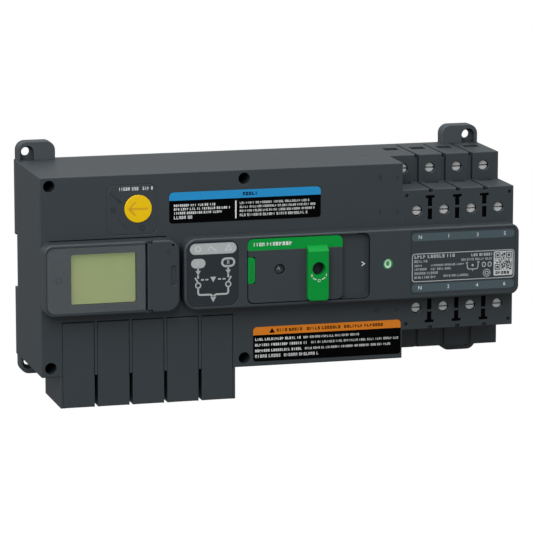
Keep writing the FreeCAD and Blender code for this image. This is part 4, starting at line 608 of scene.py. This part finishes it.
printOn("code_ground", py, ink, inks["pale"], "case", [[roundedBox(20.2, -10.6, 32.8, 4.9, 0.9)]],
        origin=(px, pz))
count = ratingLook["modules"]
cell, last = ratingLook["codeSide"] / count, count - 1
dice = random.Random(ratingLook["seed"])
modules = []
for row in range(count):
    for column in range(count):
        corner = any(abs(row - r) < 8 and abs(column - c) < 8 for r, c in ((0, 0), (last, 0), (last, last)))
        if not corner and dice.random() < 0.5:
            x, z = codeLeft + column * cell, codeBottom + row * cell
            modules.append([[(x, z), (x + cell, z), (x + cell, z + cell), (x, z + cell)]])
for r, c in ((0, 0), (last - 6, 0), (last - 6, last - 6)):
    x, z = codeLeft + c * cell, codeBottom + r * cell
    modules.append([roundedBox(x, z, x + 7 * cell, z + 7 * cell, 0.1),
                    roundedBox(x + cell, z + cell, x + 6 * cell, z + 6 * cell, 0.05)])
    modules.append([roundedBox(x + 2 * cell, z + 2 * cell, x + 5 * cell, z + 5 * cell, 0.05)])
modules += greekRow(33, 21.5, 31.9, -8.8, 1.9, 0.3, 0.75)
printOn("code_modules", py, ink * 2, inks["charcoal"], "case", modules, origin=(px, pz))
print("rating field printed")

# The two labels: a coloured heading band over a black field with rows of unreadable print.
labelRows = {
    "notice": {"node": "notice_label", "slot": "notice_film", "colour": "blue", "band": 4.5, "radius": 2.6,
               "heading": [(41, -1.6, 8.6, 2.1)], "sign": [], "divider": [(-6.6, -8.2, -5.7, 3.0, 0.2)],
               "rows": [(42, -45.7, -18.4, 1.35, 1.5, 0.26), (43, -45.7, -8.8, -1.0, 1.5, 0.26),
                        (44, -45.7, -14.9, -3.45, 1.5, 0.26), (45, -45.7, -32.9, -6.15, 1.9, 0.2),
                        (46, -3.6, 42.0, 1.35, 1.35, 0.2), (47, -3.6, 46.2, -1.15, 1.35, 0.2),
                        (48, -3.6, 45.2, -3.65, 1.35, 0.2), (49, -3.6, 41.2, -6.25, 1.6, 0.2)]},
    "warning": {"node": "warning_label", "slot": "warning_film", "colour": "orange", "band": 5.8, "radius": 2.4,
                "heading": [(51, -33.0, -15.2, 1.9), (52, -13.4, 9.2, 1.9), (53, 11.0, 37.6, 1.9)],
                "sign": [(-37.9, 6.9), (-34.2, 6.9), (-36.05, 10.1)], "divider": [],
                "rows": [(54, -47.0, -16.5, 3.0, 1.65, 0.27), (55, -15.6, 21.8, 3.0, 1.4, 0.2),
                         (56, -47.0, -12.0, -0.55, 1.65, 0.27), (57, -10.5, 47.0, -0.55, 1.4, 0.2),
                         (58, -47.0, -16.0, -4.2, 1.65, 0.27), (59, -14.6, 42.2, -4.2, 1.4, 0.2),
                         (60, -47.0, -30.0, -7.7, 1.9, 0.2), (61, -28.3, -4.6, -7.7, 1.8, 0.2)]}}
for label, look in labelRows.items():
    ax, az, ay, aHalf, aHigh = panelOf(look["node"])
    r, band = look["radius"], look["band"]
    heading = [(-aHalf, band), (aHalf, band)] + arc(aHalf - r, aHigh - r, r, 0, 90) \
        + arc(r - aHalf, aHigh - r, r, 90, 180)
    printOn(label + "_heading", ay, ink, inks[look["colour"]], "case", [[heading]], origin=(ax, az))
    dark = []
    for seed, left, right, high in look["heading"]:
        dark += greekRow(seed, left, right, (band + aHigh) / 2, high, 0.26, 0.7)
    if look["sign"]:
        dark.append([look["sign"]])
    printOn(label + "_heading_print", ay, ink * 2, inks["black"], "case", dark, origin=(ax, az))
    rows = []
    for seed, left, right, middle, high, weight in look["rows"]:
        rows += greekRow(seed, left, right, middle, high, weight)
    rows += [[roundedBox(*line)] for line in look["divider"]]
    printOn(label + "_print", ay, ink, inks["white"], "case", rows, origin=(ax, az))
print("labels printed")

# Marks beside the controls: the white caption, and the moulded symbols that stand a hair above the housing, painted
# darker as their shade.
reliefLook = {"raise": 0.12, "captionHigh": 2.0, "captionRise": 12.6, "arrowLine": 1.3, "line": 0.5, "sourceHigh": 3.4,
              "doorMark": (-75.0, 15.6), "doorCoat": 0.05}
kx, kz, ky = panelOf("selector_knob")[:3]
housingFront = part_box("controller_housing")[0].y / mm
caption = greekRow(71, -12.1, 1.6, reliefLook["captionRise"], reliefLook["captionHigh"], 0.19, 0.5) \
    + greekRow(72, 3.0, 10.6, reliefLook["captionRise"], reliefLook["captionHigh"], 0.19, 0.5)
printOn("selector_caption", housingFront, ink, inks["white"], "case", caption, origin=(kx, kz))
# the arrow's groove, painted a little over its edges in a deeper yellow as its shade
arrowLine, line = reliefLook["arrowLine"], reliefLook["line"]
arrow = [[stroke([(-4.9, 0), (6.0, 0)], arrowLine)], [stroke([(-2.0, 4.1), (-5.9, 0), (-2.0, -4.1)], arrowLine)]]
printOn("selector_arrow", ky, ink, inks["amber"], "selector_knob", arrow, origin=(kx, kz))
# round the knob: a pointer, two bars for one position and a ring for the other
relief = [[stroke([(-17.6, 10.6), (-13.6, 6.8)], line)], [stroke([(-13.6, 6.8), (-10.6, 4.0)], 1.6)],
          [roundedBox(-17.0, -2.0, -16.1, 1.6, 0.2)], [roundedBox(-15.2, -2.0, -14.3, 1.6, 0.2)],
          [disc(2.6, -12.2, 1.7), disc(2.6, -12.2, 1.1)]]
printOn("selector_relief", housingFront, reliefLook["raise"], inks["ash"], "case",
        relief, origin=(kx, kz))
# beside the poles: I and II for the sources, a ring for the load, and an arrowhead each
sources = [(64.6, 53.4, "II"), (64.6, 31.5, "I")]
relief = [[stroke([(74.8, z + 1.2), (76.8, z), (74.8, z - 1.2)], line)] for _, z, _ in sources]
relief += [[disc(63.0, -30.9, 1.7), disc(63.0, -30.9, 1.1)],
           [stroke([(74.8, -29.7), (76.8, -30.9), (74.8, -32.1)], line)]]
printOn("source_relief", housingFront, reliefLook["raise"], inks["ash"], "case", relief,
        [(mark, x, z, reliefLook["sourceHigh"], 0.06, 0) for x, z, mark in sources])
printOn("door_padlock", panelOf("settings_door")[2], reliefLook["doorCoat"], inks["ash"], "settings_door",
        [[roundedBox(-1.3, -1.7, 1.3, 0.3, 0.3), roundedBox(-1.0, -1.4, 1.0, 0.0, 0.2)],
         [stroke(arc(0, 0.4, 0.9, 0, 180, 9), 0.3)]], origin=reliefLook["doorMark"])
print("moulded marks made")

# Painted shade: black floors in the slots between the poles and in the openings and grooves of the top faces, standing
# for the shade of the deep unlit wells behind them. Each slot is a bar over a stem that a bridge cuts in two.
slotLook = {"down": 1.2, "bar": (5.8, 1.8), "stem": (2.8, 15.5), "bridge": 1.4, "drop": 4.0, "pitch": 18.0,
            "lastSlot": 133.6, "firstPole": 89.1, "firstGroove": 98.2, "grooveHalf": 0.6, "grooveDown": 1.05,
            "frontGroove": (-79.5, -49.0), "rearGroove": (-49.0, -5.0), "entryDown": 1.4,
            "frontEntry": (4.15, -55.9, -49.1), "rearEntry": (4.7, -26.4, -17.0),
            "slits": (1.9, 62.0), "slitLong": 6.8, "slitSpan": (-43.05, -42.35), "slitDown": 0.6}
pitch, bridge = slotLook["pitch"], slotLook["bridge"]
slotFoot, slotTop = (corner.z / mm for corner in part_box("switch_front_housing"))
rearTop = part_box("switch_rear_housing")[1].z / mm
barWide, barHigh = slotLook["bar"]
stemWide, stemLong = slotLook["stem"]
parts = ((barWide / 2, 0, barHigh), (stemWide / 2, barHigh, (stemLong - bridge) / 2),
         (stemWide / 2, (stemLong + bridge) / 2, stemLong))
backs = []
for pole in range(3):
    x = slotLook["lastSlot"] - pitch * pole
    for start, way in ((slotTop - slotLook["drop"], -1), (slotFoot + slotLook["drop"], 1)):
        for half, near, far in parts:
            low, high = sorted((start + way * near, start + way * far))
            backs.append([[(x - half, low), (x + half, low), (x + half, high), (x - half, high)]])
printOn("slot_painted_shade", panelOf("switch_front_housing")[2] + slotLook["down"], ink, inks["black"], "case",
        backs)
entries = []
for (half, near, far), top in ((slotLook["frontEntry"], slotTop), (slotLook["rearEntry"], rearTop)):
    for pole in range(4):
        x = slotLook["firstPole"] + pitch * pole
        entries.append((x - half, x + half, near, far, top - slotLook["entryDown"]))
paintedShadeFloor("entry_painted_shade", inks["black"], entries)
grooves = []
half = slotLook["grooveHalf"]
for (near, far), top in ((slotLook["frontGroove"], slotTop), (slotLook["rearGroove"], rearTop)):
    for pole in range(3):
        x = slotLook["firstGroove"] + pitch * pole
        grooves.append((x - half, x + half, near, far, top - slotLook["grooveDown"]))
grooves += [(x, x + slotLook["slitLong"], *slotLook["slitSpan"], rearTop - slotLook["slitDown"])
            for x in slotLook["slits"]]
paintedShadeFloor("groove_painted_shade", inks["black"], grooves)
print("slots and openings lined")

# Studio: pale floor, a soft light overhead, a weaker one from the left, a large fill in front, a quarter view.
studioLook = {
    "lens": 241.8, "distance": 2.2331, "target": (-0.00923, -0.0795, 0.00069),
    "from": (-0.25848, -0.94889, 0.18110), "ambient": 0.49, "ambientBelow": 0.2, "floorRadius": 6.0,
    "floorGap": 0.0002,
    "lights": [("overhead", (0.0, -0.15, 1.3), (0.0, -0.05, 0.0), 1.5, 13.0),
               ("leftWall", (-1.7, -0.5, 0.4), (0.0, 0.0, 0.0), 1.2, 6.0),
               ("frontFill", (-1.1, -2.0, 1.5), (0.0, 0.0, 0.0), 1.6, 43.0)]}
floorHeight = Vector(cadBox[0]).z - studioLook["floorGap"]
floorMesh = bpy.data.meshes.new("studio_floor")
floorBuild = bmesh.new()
bmesh.ops.create_circle(floorBuild, cap_ends=True, segments=96, radius=studioLook["floorRadius"],
                        matrix=Matrix.Translation((0, 0, floorHeight)))
floorBuild.to_mesh(floorMesh)
floorBuild.free()
floor = bpy.data.objects.new("studio_floor", floorMesh)
bpy.context.scene.collection.objects.link(floor)
floor.visible_glossy = floor.visible_diffuse = False  # the sweep shows, but throws no light back up
# painted sweep, lit so far up that it burns out to plain white
paint, tree = newFinish("paintedSweep")
place = addNode(tree, "ShaderNodeTexCoord")
roller = addNode(tree, "ShaderNodeTexNoise", {"Scale": 60.0, "Detail": 2.0}, {"Vector": (place, "Object")})
tone = addNode(tree, "ShaderNodeMix", {"data_type": "RGBA", 6: linear("#060606"), 7: linear("#080808")},
               {0: (roller, 0)})
closeFinish(tree, {"Roughness": 1.0, "Specular IOR Level": 0.0, "Emission Color": linear("#FFFFFF"),
                   "Emission Strength": 1.0}, {"Base Color": (tone, 2)})
floorMesh.materials.append(paint)
for name, place, target, side, power in studioLook["lights"]:
    lamp = bpy.data.lights.new(name, "AREA")
    lamp.shape, lamp.size, lamp.energy = "SQUARE", side, power
    holder = bpy.data.objects.new(name, lamp)
    bpy.context.scene.collection.objects.link(holder)
    holder.location = place
    holder.rotation_euler = (Vector(target) - Vector(place)).to_track_quat("-Z", "Y").to_euler()
world = bpy.data.worlds.new("paleStudio")
world.use_nodes = True
tree = world.node_tree
tree.nodes.clear()
# a dimmer room below the horizon, and plain white where the camera looks past the switch
seen = addNode(tree, "ShaderNodeLightPath")
aim = addNode(tree, "ShaderNodeTexCoord")
axes = addNode(tree, "ShaderNodeSeparateXYZ", None, {0: (aim, "Generated")})
height = addNode(tree, "ShaderNodeMapRange", {"From Min": -0.25, "From Max": 0.25,
                                              "To Min": studioLook["ambientBelow"], "To Max": studioLook["ambient"]},
                 {"Value": (axes, "Z")})
room = addNode(tree, "ShaderNodeBackground", {"Color": linear("#FFFFFF")}, {"Strength": (height, 0)})
backdrop = addNode(tree, "ShaderNodeBackground", {"Color": linear("#FFFFFF"), "Strength": 1.0})
either = addNode(tree, "ShaderNodeMixShader", None, {0: (seen, "Is Camera Ray"), 1: (room, 0), 2: (backdrop, 0)})
addNode(tree, "ShaderNodeOutputWorld", None, {"Surface": (either, 0)})
bpy.context.scene.world = world
bpy.context.scene.view_settings.view_transform = "Standard"
lens = bpy.data.cameras.new("quarterView")
lens.lens, lens.sensor_width, lens.clip_end = studioLook["lens"], 36.0, 50.0
camera = bpy.data.objects.new("quarterView", lens)
bpy.context.scene.collection.objects.link(camera)
target = Vector(studioLook["target"])
camera.location = target + Vector(studioLook["from"]) * studioLook["distance"]
camera.rotation_euler = (target - camera.location).to_track_quat("-Z", "Y").to_euler()
bpy.context.scene.camera = camera
print("studio lit")
